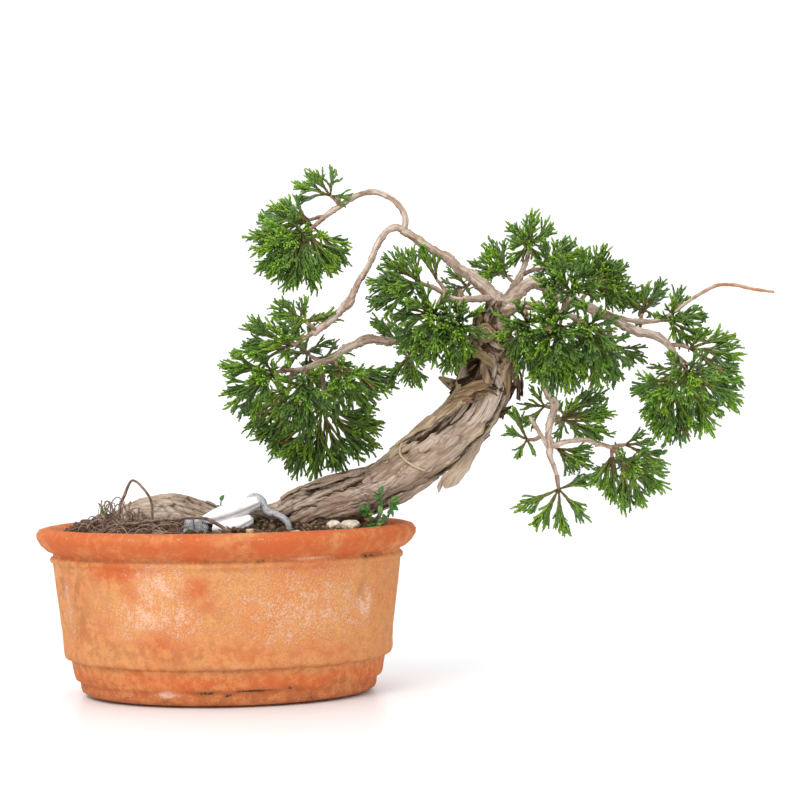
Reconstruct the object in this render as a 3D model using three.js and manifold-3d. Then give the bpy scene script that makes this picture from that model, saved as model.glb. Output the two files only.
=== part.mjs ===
// Savin juniper bonsai in an oval terracotta pot: a half-buried trunk that leans far over the rim, thin
// drooping limbs, and pads of cord-like foliage. Millimetres, +Z up, +X the side that the trunk leans to.
// The origin is the middle of the pot's flat underside.
import * as THREE from "three";
import { mergeVertices } from "three/addons/utils/BufferGeometryUtils.js";
import Module from "manifold-3d";

const wasm = await Module();
wasm.setup();
const { Manifold, Mesh } = wasm;

// Driving dimensions
const GAP = 0.35; // clearance between pieces that touch
const SMALLEST_EDGE = 0.15; // joined solids are simplified to this, well inside the gaps
const POT_DEPTH_RATIO = 0.773; // the pot's plan is an ellipse, this much shorter along Y
const POT_SIDES = 32;
const POT_FLOOR = 8; // height of the pot's inner floor
const DRAIN_RADIUS = 8;
const DRAIN_OFFSET = 42; // from the middle to each drain hole
const SOIL_SIDES = 20;
const SOIL_EDGE_HEIGHT = 92.5;
const SOIL_MOUND_HEIGHT = 9.5;
const TRUNK_SIDES = 12;
const LIMB_SIDES = 5;
const THIN_LIMB_SIDES = 4;
const THICK_LIMB = 3.2; // radius at its foot above which a limb has more sides
const TWIG_SIDES = 3;
const TWIG_RADIUS = 1.3; // the brown foot of a spray
const TWIG_SHARE = 0.3; // how far past its bend a spray's foot is brown wood, of the way to the hub
const STEM_RADIUS = 1.15; // circumradius of a fan's three-sided stem
const PLUME_RADIUS = 0.95; // circumradius of a plume where it leaves its stem
const PLUME_TIP_RADIUS = 0.7;
const SHOOT_RADIUS = 0.55; // a side shoot's mean radius, kept clear round it
const SHOOT_ANGLE = 0.6; // radians between a side shoot and its plume
const SHOOT_SHARE = 0.52; // of the plume's length beyond the shoot's foot
const SHOOT_LONGEST = 11;
const SHOOT_SHORTEST = 4;
const FAN_RINGS = [0.18, 0.36, 0.6]; // along a fan's axis: the stem's two stretches, then its plume
const PLUME_SPACING = 4.4; // mm of a fan's breadth for each of its side plumes
const MOST_PLUMES = 5;
const ATTEMPTS = 6;
const WIRE_RADIUS = 2.2;

const GOLDEN_ANGLE = Math.PI * (3 - Math.sqrt(5));

// Half-width and height of the pot's wall, from the middle of the underside out, up, and back in
const POT_OUTSIDE = [
  [0, 0], [78.5, 0], [83, 2], [85.3, 7.2], [88.1, 10.9], [90.1, 18.4], [94.3, 24], [96.1, 38.4],
  [101.2, 81.5], [105.3, 85.4], [110, 92.1], [107, 96.4], [101, 96.2],
];
const POT_INSIDE = [[97.5, 91], [93, 80], [81, 15], [76, POT_FLOOR], [0, POT_FLOOR]];

// A limb is a run of stations [x, y, z, radius] from where it leaves its parent to its tip.
const LIMBS = {
  trunk: [[-72, 12, 93, 4.6], [-64, 12, 96, 6.9], [-52, 12, 100, 11.0], [-33, 11, 101, 14.4],
    [-16, 9, 98, 13.0], [1, 7, 93, 11.0], [18, 5, 95, 11.5], [34, 2, 98, 11.5], [46, 0, 103, 12.7],
    [64, -2, 109, 13.6], [85, -5, 116, 13.0], [107, -7, 129, 14.4], [128, -8, 145, 15.0],
    [143, -6, 159, 15.0], [149, -3, 171, 16.2], [152, -1, 182, 16.5], [154, 1, 194, 13.3],
    [156, 2, 204, 11.3], [157, 3, 214, 9.2], [160, 3, 222, 6.9]],
  arch: [[160.5, 2, 221, 4.6], [153, 0, 230, 3.8], [144.5, -2, 237, 3.2], [137, -4, 242, 2.9],
    [131.5, -5, 247, 2.7], [124, -6, 251.5, 2.5], [117, -8, 256, 2.4], [109.5, -9, 261, 2.2],
    [104.5, -10, 264, 2.2]],
  arch_low: [[105.5, -10, 263.5, 2.0], [101.5, -11, 265.5, 1.9], [97, -12, 264, 1.8],
    [91.5, -13, 257.5, 1.7], [84.5, -15, 242.5, 1.7], [79.5, -17, 234.5, 1.8], [76, -18, 227, 2.1],
    [74, -18, 223, 2.7], [70.5, -19, 219.5, 2.0], [64, -20, 213.5, 2.0], [58.5, -21, 209, 2.0],
    [53, -22, 205.5, 1.7]],
  arch_high: [[105, -10, 263, 2.0], [106.5, -9, 269, 1.8], [105.5, -8, 274.5, 1.7],
    [101.5, -6, 280.5, 1.6], [95, -4, 285, 1.6], [87.5, -2, 287, 1.6], [80.5, 0, 286, 1.6],
    [75, 2, 283.5, 1.7], [69, 3, 279.5, 1.7], [63.5, 3, 276.5, 1.5], [59, 3, 272.5, 1.3]],
  left_limb: [[150, 2, 197.5, 3.5], [136, 6, 202, 2.9], [120, 8, 204, 2.5], [106.5, 6, 202, 2.4],
    [98.5, 4, 201, 2.3], [92, 2, 201.5, 2.4], [84, 0, 202, 2.4], [76, -3, 199, 2.3],
    [69.5, -5, 196, 2.2], [64, -7, 191.5, 2.1], [56.5, -9, 189, 2.0], [48, -12, 185.5, 1.7],
    [40, -14, 184.5, 1.4]],
  inner_limb: [[154, -2, 225, 2.3], [147.5, -6, 224, 2.0], [139.5, -9, 224, 1.7],
    [132.5, -12, 224.5, 1.6], [127, -15, 227.5, 1.4], [121, -18, 231, 1.3]],
  right_limb: [[159.5, 3, 220.5, 4.6], [165.5, 3, 222.5, 3.8], [170.5, 2, 227, 3.5],
    [176, 1, 232, 3.5], [181, 1, 233.5, 3.5], [187.5, 3, 230.5, 3.1], [195.5, 6, 226, 2.9],
    [204.5, 7, 222.5, 2.8], [216, 6, 217, 2.6], [227, 2, 211, 2.5], [239, -3, 204.5, 2.5],
    [249.5, -6, 201.5, 2.4], [256.5, -8, 196, 2.1], [260.5, -9, 189.5, 1.7]],
  bare_twig: [[217.5, 6, 217, 1.5], [231.5, 3, 212, 1.4], [243.5, 1, 210, 1.4],
    [253.5, -2, 211, 1.3], [261, -3, 215.5, 1.2], [266.5, -3, 219.5, 1.0], [276, -3, 225.5, 0.9],
    [285.5, -2, 230, 0.9], [295, -1, 230.5, 0.9], [306, 0, 228, 0.9], [319, 1, 226, 0.7]],
  top_limb: [[162, 3, 221.5, 3.5], [167.5, 12, 228.5, 2.5], [174, 22, 239, 2.0],
    [178, 27, 248.5, 1.4]],
  front_limb: [[162.5, -2, 216.5, 3.5], [171.5, -12, 219.5, 2.5], [182, -20, 218.5, 2.2],
    [193, -26, 214.5, 1.8], [202.5, -28, 211.5, 1.4]],
  hanging_limb: [[190, 4, 229.5, 2.5], [190, -1, 216.5, 2.4], [186.5, -8, 200, 2.3],
    [185, -12, 185.5, 2.1], [185, -12, 177, 2.1], [186, -12, 170, 2.1], [190.5, -12, 162.5, 2.4],
    [188, -12, 155.5, 2.2], [186.5, -11, 146.5, 2.1], [187.5, -10, 138.5, 2.0]],
  hanging_tail: [[187.5, -10, 140.5, 1.7], [187.5, -10, 133.5, 1.4], [189.5, -10, 127.5, 1.3],
    [191, -10, 122, 1.0]],
  hanging_arm: [[187.5, -10, 139, 1.6], [191.5, -10, 140, 1.4], [197, -11, 141.5, 1.4],
    [207.5, -12, 142.5, 1.4], [215.5, -13, 140, 1.3], [223, -14, 137.5, 1.1]],
  hanging_stub: [[187, -10, 138.5, 1.5], [182, -12, 145.5, 1.3], [179, -13, 151, 1.3],
    [176, -14, 156, 0.9]],
};

// Broken ends of dead branches on the trunk: [x, y, z, radius] at the foot and at the tip
const STUBS = [
  [[141, 0, 171, 4.5], [131, -1, 176, 3], [124.5, 0, 179.5, 0.8]],
  [[150, -4, 186, 5], [160.5, -5, 181, 3.4], [167, -4, 178, 1.2]],
  [[152, -2, 196, 4], [147, -12, 200, 3], [144, -15, 203, 1.4]],
  [[138, -9, 225, 2], [137, -11, 229.5, 1.2]],
];

// The pruning scar that faces the viewer, and the flap of loose bark under the trunk's bend
const SCAR = { x: 151.8, y: -13, z: 204, radius: 4.9, depth: 7, hollow: 1.2 };
const FLAP = [[117, 133], [141, 133], [140, 121], [135, 117], [129.5, 114.5], [123.5, 116.5], [121, 122]];
const FLAP_FRONT = -17;
const FLAP_THICKNESS = 2.4;

// A spray stands on a brown twig that leads from its limb to its hub. From the hub it fans out towards
// [x, y, z, spread in degrees].
const SPRAYS = {
  a1: { twig: [[69.5, 3, 279.5], [66.5, 1, 283], [63.5, 0, 285.5]],
    fans: [[53, -4, 299, 30], [65, 8, 301, 26], [43, 12, 294, 30], [74, -2, 284, 20]] },
  a2: { twig: [[59, 3, 272.5], [56, 5, 270.5], [53, 7, 268.5]],
    fans: [[29, 12, 281, 30], [72, 8, 246, 34]] },
  a3: { twig: [[59.5, 3, 273], [54, -1, 268], [49.5, -4, 264.5]],
    fans: [[15, -10, 261, 36], [21, -16, 243, 36], [36, -8, 230, 36], [54, 0, 230, 34],
      [67, 2, 241, 30], [41, -42, 254, 42]] },
  a4: { twig: [[60, 3, 273.5], [56, 10, 274], [50.5, 15, 273]],
    fans: [[21, 34, 269, 36], [43, 38, 248, 40], [36, 32, 283, 32]] },
  b1: { twig: [[55, -22, 206.5], [52.5, -25, 209.5], [49.5, -27, 211.5]],
    fans: [[47, -26, 224, 28], [31, -30, 221, 30], [66, -14, 216, 22], [40, 4, 217, 34]] },
  b2: { twig: [[53, -22, 205.5], [47, -26, 201.5], [41.5, -28, 198]],
    fans: [[14, -26, 211, 32], [11, -32, 195, 26], [37, -58, 204, 40]] },
  b3: { twig: [[41.5, -14, 185], [36, -17, 184.5], [32.5, -19, 184]],
    fans: [[1, -18, 189, 20], [4, -24, 164, 34], [25, -52, 178, 36]] },
  b4: { twig: [[48, -12, 186], [47, -18, 180]],
    fans: [[36, -30, 152, 34], [53, -24, 148, 28], [47, -56, 167, 40]] },
  b5: { twig: [[64, -7, 191.5], [66.5, -9, 186.5]],
    fans: [[64, -16, 156, 30], [86, -10, 161, 32], [99, -2, 175, 26], [75, -44, 175, 38]] },
  b6: { twig: [[56.5, -9, 189], [58, 2, 176], [56.5, 8, 163]],
    fans: [[35, 0, 127, 32], [50, 4, 121, 28], [69, 6, 124, 30], [85, 4, 135, 30],
      [92, 10, 153, 24], [18, 8, 144, 22]] },
  b7: { twig: [[41, -14, 184.5], [38.5, -2, 177], [36.5, 4, 170]],
    fans: [[12, 12, 150, 30], [27, 10, 135, 28], [18, 34, 171, 34]] },
  b8: { twig: [[56.5, -9, 189], [52.5, 2, 192], [50, 10, 193.5]],
    fans: [[40, 44, 203, 42], [68, 40, 183, 40], [47, 40, 167, 40]] },
  c1: { twig: [[122, -17, 230.5], [117.5, -20, 232], [114.5, -22, 233]],
    fans: [[94, -20, 249, 28], [84, -24, 234, 26], [86, -26, 219, 26], [109, -16, 253, 18],
      [102, -50, 230, 34]] },
  c2: { twig: [[129.5, -13, 226], [127, -10, 232], [124, -8, 235.5]],
    fans: [[115, -10, 253, 15], [123, -6, 249, 15]] },
  c3: { twig: [[128, -15, 227], [124.5, -20, 221], [122.5, -24, 216]],
    fans: [[98, -28, 212, 34], [101, -30, 194, 32], [113, -34, 186, 30], [119, -62, 211, 42],
      [128, -50, 194, 34], [106, -38, 225, 30]] },
  c4: { twig: [[137, -10, 224], [135.5, -17, 217], [134.5, -22, 211.5]],
    fans: [[127, -24, 181, 32], [142, -26, 187, 30], [146, -30, 203, 26], [134, -58, 202, 42],
      [142, -44, 220, 34], [124, -44, 201, 30]] },
  c5: { twig: [[114, 7, 203.5], [111, 6, 198], [108, 5, 193.5]],
    fans: [[96, -2, 176, 26], [112, 2, 175, 20], [87, 6, 215, 22], [107, 32, 188, 36]] },
  c6: { twig: [[145.5, -2, 236], [142, 6, 232.5]],
    fans: [[132, 14, 242, 24], [133, 34, 231, 32]] },
  d1: { twig: [[171, 16, 233], [165.5, 20, 239]],
    fans: [[144, 20, 247, 30], [157, 22, 260, 26], [153, 50, 247, 34], [155, -8, 245, 30]] },
  d2: { twig: [[178, 27, 248], [179.5, 29, 253.5], [180.5, 30, 257]],
    fans: [[182, 28, 277, 22], [168, 26, 268, 26], [194, 30, 269, 28], [181, 62, 265, 36],
      [174, 0, 263, 30]] },
  d3: { twig: [[175, 22, 239.5], [182, 24, 242.5], [188.5, 24, 243]],
    fans: [[202, 22, 259, 28], [214, 26, 253, 30], [201, 58, 249, 38], [190, -8, 246, 34]] },
  e1: { twig: [[206, 7, 221.5], [211, 8, 227], [214, 8, 232]],
    fans: [[222, 8, 253, 28], [235, 8, 242, 32], [207, 2, 251, 28], [224, 44, 241, 36],
      [219, -26, 240, 36], [227, -14, 222, 30]] },
  e2: { twig: [[172.5, -13, 219.5], [174.5, -18, 215], [175, -22, 211.5]],
    fans: [[163, -34, 206, 24], [167, -26, 185, 28], [178, -26, 175, 30], [170, -58, 201, 40]] },
  e3: { twig: [[190, -24, 216], [190.5, -29, 211], [190, -33, 207]],
    fans: [[188, -34, 168, 30], [189, -68, 192, 40], [201, -34, 170, 28], [185, -64, 218, 36],
      [174, -46, 190, 32]] },
  e4: { twig: [[199.5, -27, 212], [204, -30, 209], [207, -32, 207]],
    fans: [[223, -36, 199, 30], [227, -28, 177, 30], [207, -66, 203, 42], [215, -26, 171, 28],
      [207, -54, 187, 32]] },
  e5: { twig: [[194, -26, 214], [196.5, -24, 219.5], [198.5, -20, 225.5]],
    fans: [[193, -34, 243, 30], [217, -28, 235, 32], [200, -56, 229, 36], [183, -40, 233, 26]] },
  e6: { twig: [[221, 4, 214.5], [224.5, 8, 205.5], [226, 10, 197.5]],
    fans: [[245, 14, 187, 28], [227, 14, 174, 30], [228, 46, 195, 40]] },
  e7: { twig: [[199, 7, 224], [197.5, 18, 216], [197, 26, 208]],
    fans: [[197, 60, 209, 42], [191, 34, 181, 36], [218, 50, 198, 38], [177, 30, 192, 34]] },
  f1: { twig: [[241.5, 1.5, 210], [243, 4, 214.5]],
    fans: [[247, 4, 230, 24], [256, 0, 234, 20], [237, 10, 229, 24], [249, 36, 225, 34]] },
  f2: { twig: [[253.5, -2, 211], [258, 4, 210.5]],
    fans: [[267, 8, 228, 18], [281, 6, 213, 20], [279, 4, 200, 24], [262, -28, 211, 34]] },
  g1: { twig: [[256.5, -8, 196], [263, -9, 196], [268, -11, 194]],
    fans: [[294, -8, 202, 20], [299, -12, 189, 24], [298, -10, 172, 26], [279, -2, 203, 22]] },
  g2: { twig: [[260.5, -9, 189.5], [264, -15, 183]],
    fans: [[295, -14, 158, 28], [280, -16, 143, 28], [265, -52, 174, 40]] },
  g3: { twig: [[260, -9, 191], [258.5, -11, 184], [257.5, -12, 179]],
    fans: [[265, -14, 139, 26], [253, -15, 139, 24], [241, -16, 151, 26], [234, -14, 168, 26],
      [245, -44, 167, 36]] },
  g4: { twig: [[260.5, -9, 190], [265, 0, 187.5], [269, 8, 185.5]],
    fans: [[291, 36, 178, 38], [273, 36, 159, 38], [254, 32, 173, 34]] },
  h1: { twig: [[189.5, -12, 161], [185, -5, 162]],
    fans: [[173, -2, 163, 28], [178, 0, 173, 24], [173, 0, 151, 22]] },
  h2: { twig: [[188, -12, 154], [194, -7, 154.5]],
    fans: [[219, -4, 170, 16], [223, -10, 158, 22], [223, -6, 145, 24], [203, -12, 165, 20],
      [209, 34, 158, 34]] },
  h3: { twig: [[187.5, -10, 140.5], [192, -3, 137.5]],
    fans: [[211, -2, 135, 22], [211, -4, 127, 24], [202, 0, 125, 20]] },
  h4: { twig: [[191, -10, 122.5], [191.5, -10, 118], [192, -10, 114.5]],
    fans: [[167, -12, 103, 13], [179, -10, 93, 13], [193, -10, 89, 15], [207, -8, 98, 18],
      [211, -4, 120, 14]] },
  h5: { twig: [[182, -12, 145], [178.5, -9, 143], [174.5, -7, 143]],
    fans: [[166, -12, 160, 11], [163, -14, 149, 11], [168, -14, 134, 15], [178, -10, 136, 13]] },
  i1: { twig: [[222.5, -14, 138], [226.5, -15, 139], [230, -16, 139.5]],
    fans: [[239, -12, 146, 22], [245, -20, 140, 18], [254, -12, 127, 24]] },
  i2: { twig: [[223, -14, 137.5], [226, -16, 135], [229, -17, 132]],
    fans: [[252, -18, 115, 28], [241, -18, 104, 28], [228, -16, 101, 24], [234, -46, 126, 36]] },
  i3: { twig: [[222.5, -14, 137.5], [222.5, -11, 132.5]],
    fans: [[223, -6, 107, 22], [216, -8, 114, 18], [210, -14, 118, 12], [235, 20, 124, 36]] },
};

// Lying on the soil and standing in it
const DEADWOOD_UPPER = [[-10, -19, 100.5, 1.6], [-4, -19, 101.5, 3.6], [5, -19, 104, 5], [14.5, -18.5, 106.5, 5],
  [20, -18, 108, 4.2]];
const DEADWOOD_LOWER = [[-4, -20, 96, 3], [3, -21, 96.5, 4.4], [10, -21, 98, 4], [17, -20, 101.5, 2]];
const WIRE_ROUTE = [[37.5, -25, 93], [35.5, -25, 101], [30.5, -24, 105], [25, -20.5, 106.5], [23.5, -15, 111],
  [18.5, -12.5, 114], [12, -11, 108], [0, -11, 102], [-8, -12, 98.5]];
const WIRE_COIL = { x: -10, y: -24, z: 94.3, radius: 3.6, turns: 2.2, pitch: 4.8, steps: 15 };
const COIL_TROUGH = [[-25, -23.7, 94.3, 7.2], [-9, -23.7, 94.3, 7.2], [-2, -14, 96, 6]];
const ROOTS = {
  root_arched: [[-59, -16, 96, 0.8], [-59, -16, 103, 0.9], [-58, -17, 110, 0.9], [-55.5, -18, 115, 0.9],
    [-53.5, -18, 120, 0.8], [-51, -19, 123.5, 0.7], [-48, -20, 122.5, 0.7], [-44.5, -21, 119, 0.7],
    [-41.5, -21, 115, 0.7], [-40, -19, 110, 0.7], [-40, -17, 97, 0.6]],
  root_long: [[-64, -30, 93, 0.9], [-60.5, -31, 98.5, 0.9], [-50, -32, 99.5, 0.8], [-39, -33, 101, 0.8],
    [-26, -34, 102, 0.8], [-17, -34, 102.5, 0.8], [-8, -33, 102, 0.9], [-1, -34, 98.5, 1], [7, -35, 93.5, 1]],
  root_looped: [[-66, -36, 92.5, 0.7], [-65, -37, 98, 0.7], [-62.5, -38, 102, 0.6], [-59.5, -38, 103, 0.6],
    [-55.5, -38, 100, 0.6], [-53, -38, 93, 0.6]],
};
const STONES = {
  pebble_beige: { at: [-69, -28], size: [3.1, 2.8, 2.2] },
  pebble_white_left: { at: [63.5, -19.5], size: [3.4, 2.8, 2.4] },
  pebble_white_right: { at: [73, -20], size: [4.4, 3.2, 2.8] },
  pebble_flat: { at: [43, -40], size: [3.6, 2.6, 1.5] },
  pebble_yellow: { at: [17, -38], size: [2.6, 2.2, 1.8] },
  bark_chunk: { at: [-68, -8], size: [10, 6, 7] },
  bark_shard: { at: [3, 24], size: [6, 3, 1.8] },
};
// A weed's stems run [x, y] up from the soil to a tip, and each leaf is [x, y, z, length, lean in degrees].
const WEEDS = {
  weed_right: {
    stems: [[[87, -27], [90, -29, 114]], [[91, -29], [96.5, -28, 110]], [[85.5, -26], [82, -27, 106]]],
    leaves: [[90, -29, 114, 7, 80], [90, -29, 112, 6.5, 170], [96.5, -28, 109.5, 6.5, 40],
      [96, -28, 107, 6.5, -20], [82, -27, 105.5, 6, 150], [89, -28.4, 107.5, 6, -60]],
  },
  weed_middle: {
    stems: [[[-6, 24], [-4.5, 24, 109]]],
    leaves: [[-4.5, 24, 109, 5.5, 70], [-5.2, 24, 106, 5.5, 200]],
  },
  weed_left: {
    stems: [[[-67, -20], [-67, -21, 105.5]]],
    leaves: [[-67, -21, 105.5, 4.5, 130], [-67, -21, 105, 4.5, 40]],
  },
};
const STONE_ROUNDED_FROM = 7; // mm of half-length above which a stone gets smaller faces
const WEED_STEM_RADIUS = 0.6;
const WEED_LEAF_THICKNESS = 0.9;

// Colours, as linear-looking sRGB hex values
const COLOURS = {
  terracotta: [0xc8693f, 0.85], soil: [0x3a2a20, 0.95], bark: [0x8a7058, 0.9], foliage: [0x2f6b2a, 0.7],
  deadwood: [0xe9eaee, 0.8], wire: [0x9a9ca1, 0.45], stone: [0xd8cdb8, 0.7], root: [0x7c6255, 0.9],
  weed: [0x4f9a35, 0.6],
};
const MATERIALS = {};
for (const [name, [color, roughness]] of Object.entries(COLOURS)) {
  MATERIALS[name] = new THREE.MeshStandardMaterial({ color, roughness, metalness: name === "wire" ? 0.6 : 0 });
}

// A repeatable stream of numbers from 0 to 1
function randomFrom(seed) {
  let state = seed >>> 0;
  return () => {
    state = (state + 0x6d2b79f5) >>> 0;
    let t = state;
    t = Math.imul(t ^ (t >>> 15), t | 1);
    t ^= t + Math.imul(t ^ (t >>> 7), t | 61);
    return ((t ^ (t >>> 14)) >>> 0) / 2 ** 32;
  };
}

const vector = (p) => new THREE.Vector3(p[0], p[1], p[2]);

// Closed geometry to solid and back
function solidOf(geometry) {
  const bare = geometry.clone();
  bare.deleteAttribute("normal");
  bare.deleteAttribute("uv");
  const merged = mergeVertices(bare, 1e-4);
  const mesh = new Mesh({
    numProp: 3,
    vertProperties: new Float32Array(merged.attributes.position.array),
    triVerts: new Uint32Array(merged.index.array),
  });
  return new Manifold(mesh);
}

function geometryOf(solid) {
  const mesh = solid.getMesh();
  const points = [];
  for (let i = 0; i < mesh.numVert; i++) {
    points.push(...mesh.vertProperties.subarray(i * mesh.numProp, i * mesh.numProp + 3));
  }
  return geometryFrom(points, Array.from(mesh.triVerts));
}

function geometryFrom(points, indices) {
  const geometry = new THREE.BufferGeometry();
  geometry.setAttribute("position", new THREE.Float32BufferAttribute(points, 3));
  geometry.setIndex(indices);
  return geometry;
}

const biggestBody = (solid) => solid.decompose().sort((a, b) => b.volume() - a.volume())[0];

// Two directions that make a right-handed frame with a tangent, turned as little as can be from the last
function frameAcross(tangent, last) {
  const first = last.clone().addScaledVector(tangent, -last.dot(tangent)).normalize();
  return [first, new THREE.Vector3().crossVectors(tangent, first)];
}

function startDirection(tangent) {
  const upright = Math.abs(tangent.z) > 0.9 ? new THREE.Vector3(0, 1, 0) : new THREE.Vector3(0, 0, 1);
  return upright.addScaledVector(tangent, -upright.dot(tangent)).normalize();
}

// A closed tube along stations [x, y, z, radius], with both ends flat. relief(angle, share) scales the radius,
// and grow adds to the radius and the ends.
function tubeGeometry(stations, { sides, perSpan = 1, relief = () => 1, grow = 0 }) {
  const curve = new THREE.CatmullRomCurve3(stations.map(vector), false, "centripetal");
  const spans = stations.length - 1;
  const rings = Math.round(spans * perSpan);
  const points = [];
  const indices = [];
  let across = null;
  for (let i = 0; i <= rings; i++) {
    const share = i / rings;
    const tangent = curve.getTangent(share);
    const past = i === 0 ? -grow : i === rings ? grow : 0;
    const at = curve.getPoint(share).addScaledVector(tangent, past);
    const [first, second] = frameAcross(tangent, across ?? startDirection(tangent));
    across = first;
    const span = Math.min(Math.floor(share * spans), spans - 1);
    const within = share * spans - span;
    const radius = THREE.MathUtils.lerp(stations[span][3], stations[span + 1][3], within);
    for (let k = 0; k < sides; k++) {
      const angle = (2 * Math.PI * k) / sides;
      const reach = radius * relief(angle, share) + grow;
      const p = at.clone().addScaledVector(first, reach * Math.cos(angle));
      p.addScaledVector(second, reach * Math.sin(angle));
      points.push(p.x, p.y, p.z);
    }
  }
  for (let i = 0; i < rings; i++) {
    for (let k = 0; k < sides; k++) {
      const a = i * sides + k;
      const b = i * sides + ((k + 1) % sides);
      indices.push(a, b, b + sides, a, b + sides, a + sides);
    }
  }
  for (let k = 1; k < sides - 1; k++) {
    indices.push(0, k + 1, k);
    indices.push(rings * sides, rings * sides + k, rings * sides + k + 1);
  }
  return geometryFrom(points, indices);
}

const tube = (stations, options) => solidOf(tubeGeometry(stations, options));

// The hole that a piece stands in
const socket = (stations, options) => tube(stations, { ...options, grow: GAP });

// Pot: a wall turned on a wheel and pressed to an oval, with two drain holes
function potSolid() {
  const profile = [...POT_OUTSIDE, ...POT_INSIDE].map(([x, z]) => new THREE.Vector2(x, z));
  const turned = new THREE.LatheGeometry(profile, POT_SIDES);
  turned.rotateX(Math.PI / 2);
  turned.scale(1, POT_DEPTH_RATIO, 1);
  let pot = solidOf(turned);
  for (const side of [-1, 1]) {
    const hole = new THREE.CylinderGeometry(DRAIN_RADIUS, DRAIN_RADIUS, 4 * POT_FLOOR, 12);
    hole.rotateX(Math.PI / 2);
    hole.translate(side * DRAIN_OFFSET, 0, 0);
    pot = pot.subtract(solidOf(hole));
  }
  return pot;
}

// Height of the soil over a point, as it mounds up round the trunk and falls to the wall
function soilHeight(x, y) {
  const toWall = Math.hypot(x / 96, y / (96 * POT_DEPTH_RATIO));
  const ridge = Math.exp(-(((x - 10) / 85) ** 2) - ((y - 12) / (y < 12 ? 40 : 60)) ** 2);
  const lumps = 0.7 * Math.sin(x * 0.21 + 1) * Math.cos(y * 0.27 - x * 0.05) + 0.4 * Math.sin(x * 0.47 - y * 0.4);
  const fade = Math.max(0, 1 - toWall ** 6);
  return SOIL_EDGE_HEIGHT + fade * (SOIL_MOUND_HEIGHT * ridge + lumps);
}

function soilSolid() {
  const top = [0.2, 0.42, 0.62, 0.8, 0.93];
  const wall = POT_INSIDE.slice(0, -1);
  const rings = [];
  const points = [];
  const edge = wall[1][0] + ((wall[0][0] - wall[1][0]) * (SOIL_EDGE_HEIGHT - wall[1][1])) / (wall[0][1] - wall[1][1]);
  const shrink = Math.cos(Math.PI / POT_SIDES);
  const outline = [[Math.min(edge, wall[0][0]), null], ...wall.slice(1)];
  const across = (radius, k) => {
    const angle = (2 * Math.PI * k) / SOIL_SIDES;
    return [radius * Math.cos(angle), radius * POT_DEPTH_RATIO * Math.sin(angle)];
  };
  for (const share of top) {
    rings.push((k) => {
      const [x, y] = across(share * outline[0][0], k);
      return [x, y, soilHeight(x, y)];
    });
  }
  outline.forEach(([radius, height], i) => {
    rings.push((k) => {
      const [x, y] = across(radius * shrink - 2 * GAP, k);
      const z = i === 0 ? SOIL_EDGE_HEIGHT : height + (height === POT_FLOOR ? GAP : 0);
      return [x, y, z];
    });
  });
  points.push(0, 0, soilHeight(0, 0));
  for (const ring of rings) {
    for (let k = 0; k < SOIL_SIDES; k++) points.push(...ring(k));
  }
  points.push(0, 0, POT_FLOOR + GAP);
  const last = points.length / 3 - 1;
  const indices = [];
  const at = (ring, k) => 1 + ring * SOIL_SIDES + (k % SOIL_SIDES);
  for (let k = 0; k < SOIL_SIDES; k++) {
    indices.push(0, at(0, k), at(0, k + 1));
    for (let r = 0; r < rings.length - 1; r++) {
      indices.push(at(r, k), at(r + 1, k), at(r + 1, k + 1), at(r, k), at(r + 1, k + 1), at(r, k + 1));
    }
    indices.push(last, at(rings.length - 1, k + 1), at(rings.length - 1, k));
  }
  return solidOf(geometryFrom(points, indices));
}

// Trunk: ridged bark that twists as it climbs, fused with limbs, twigs, broken stubs, scar and flap
function trunkRelief(angle, share) {
  const twist = angle + 5 * share;
  const ridges = 0.075 * Math.cos(3 * twist) + 0.05 * Math.cos(5 * twist + 1.3) + 0.03 * Math.cos(2 * angle + 40 * share);
  return 1 + ridges;
}

const TRUNK_TUBE = { sides: TRUNK_SIDES, perSpan: 1.4, relief: trunkRelief };

function scarSolid() {
  const { x, y, z, radius, depth, hollow } = SCAR;
  const outline = [[0, -depth], [radius, -depth], [radius, 0], [0.7 * radius, 1], [0.45 * radius, -hollow], [0, -hollow]];
  const knob = new THREE.LatheGeometry(outline.map(([r, h]) => new THREE.Vector2(r, h)), 9);
  knob.rotateX(Math.PI);
  knob.translate(x, y, z);
  return solidOf(knob);
}

function flapSolid() {
  const outline = new THREE.Shape(FLAP.map(([x, z]) => new THREE.Vector2(x, z)));
  const flap = new THREE.ExtrudeGeometry(outline, { depth: FLAP_THICKNESS, bevelEnabled: false });
  flap.rotateX(Math.PI / 2);
  flap.translate(0, FLAP_FRONT + FLAP_THICKNESS, 0);
  return solidOf(flap);
}

// The brown foot of a spray ends flat a little past its bend, on the way from its limb to its hub.
function footOf(twig) {
  const route = twig.map(vector);
  const hub = route[route.length - 1];
  const bends = route.slice(0, -1);
  return { bends, end: bends[bends.length - 1].clone().lerp(hub, bends.length > 1 ? TWIG_SHARE : 0.5), hub };
}

function footStations(twig) {
  const { bends, end } = footOf(twig);
  return [...bends, end].map((p) => [p.x, p.y, p.z, TWIG_RADIUS]);
}

function trunkSolid() {
  const pieces = [tube(LIMBS.trunk, TRUNK_TUBE), scarSolid(), flapSolid()];
  for (const [name, stations] of Object.entries(LIMBS)) {
    if (name !== "trunk") pieces.push(tube(stations, { sides: stations[0][3] > THICK_LIMB ? LIMB_SIDES : THIN_LIMB_SIDES }));
  }
  for (const stations of STUBS) pieces.push(tube(stations, { sides: LIMB_SIDES }));
  for (const { twig } of Object.values(SPRAYS)) {
    const stations = footStations(twig);
    pieces.push(tube(stations, { sides: TWIG_SIDES }));
  }
  return biggestBody(Manifold.union(pieces)).simplify(SMALLEST_EDGE);
}

// What a growing shoot has to stay clear of: rods [from, to, radius, owner]
const rods = [];

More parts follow.
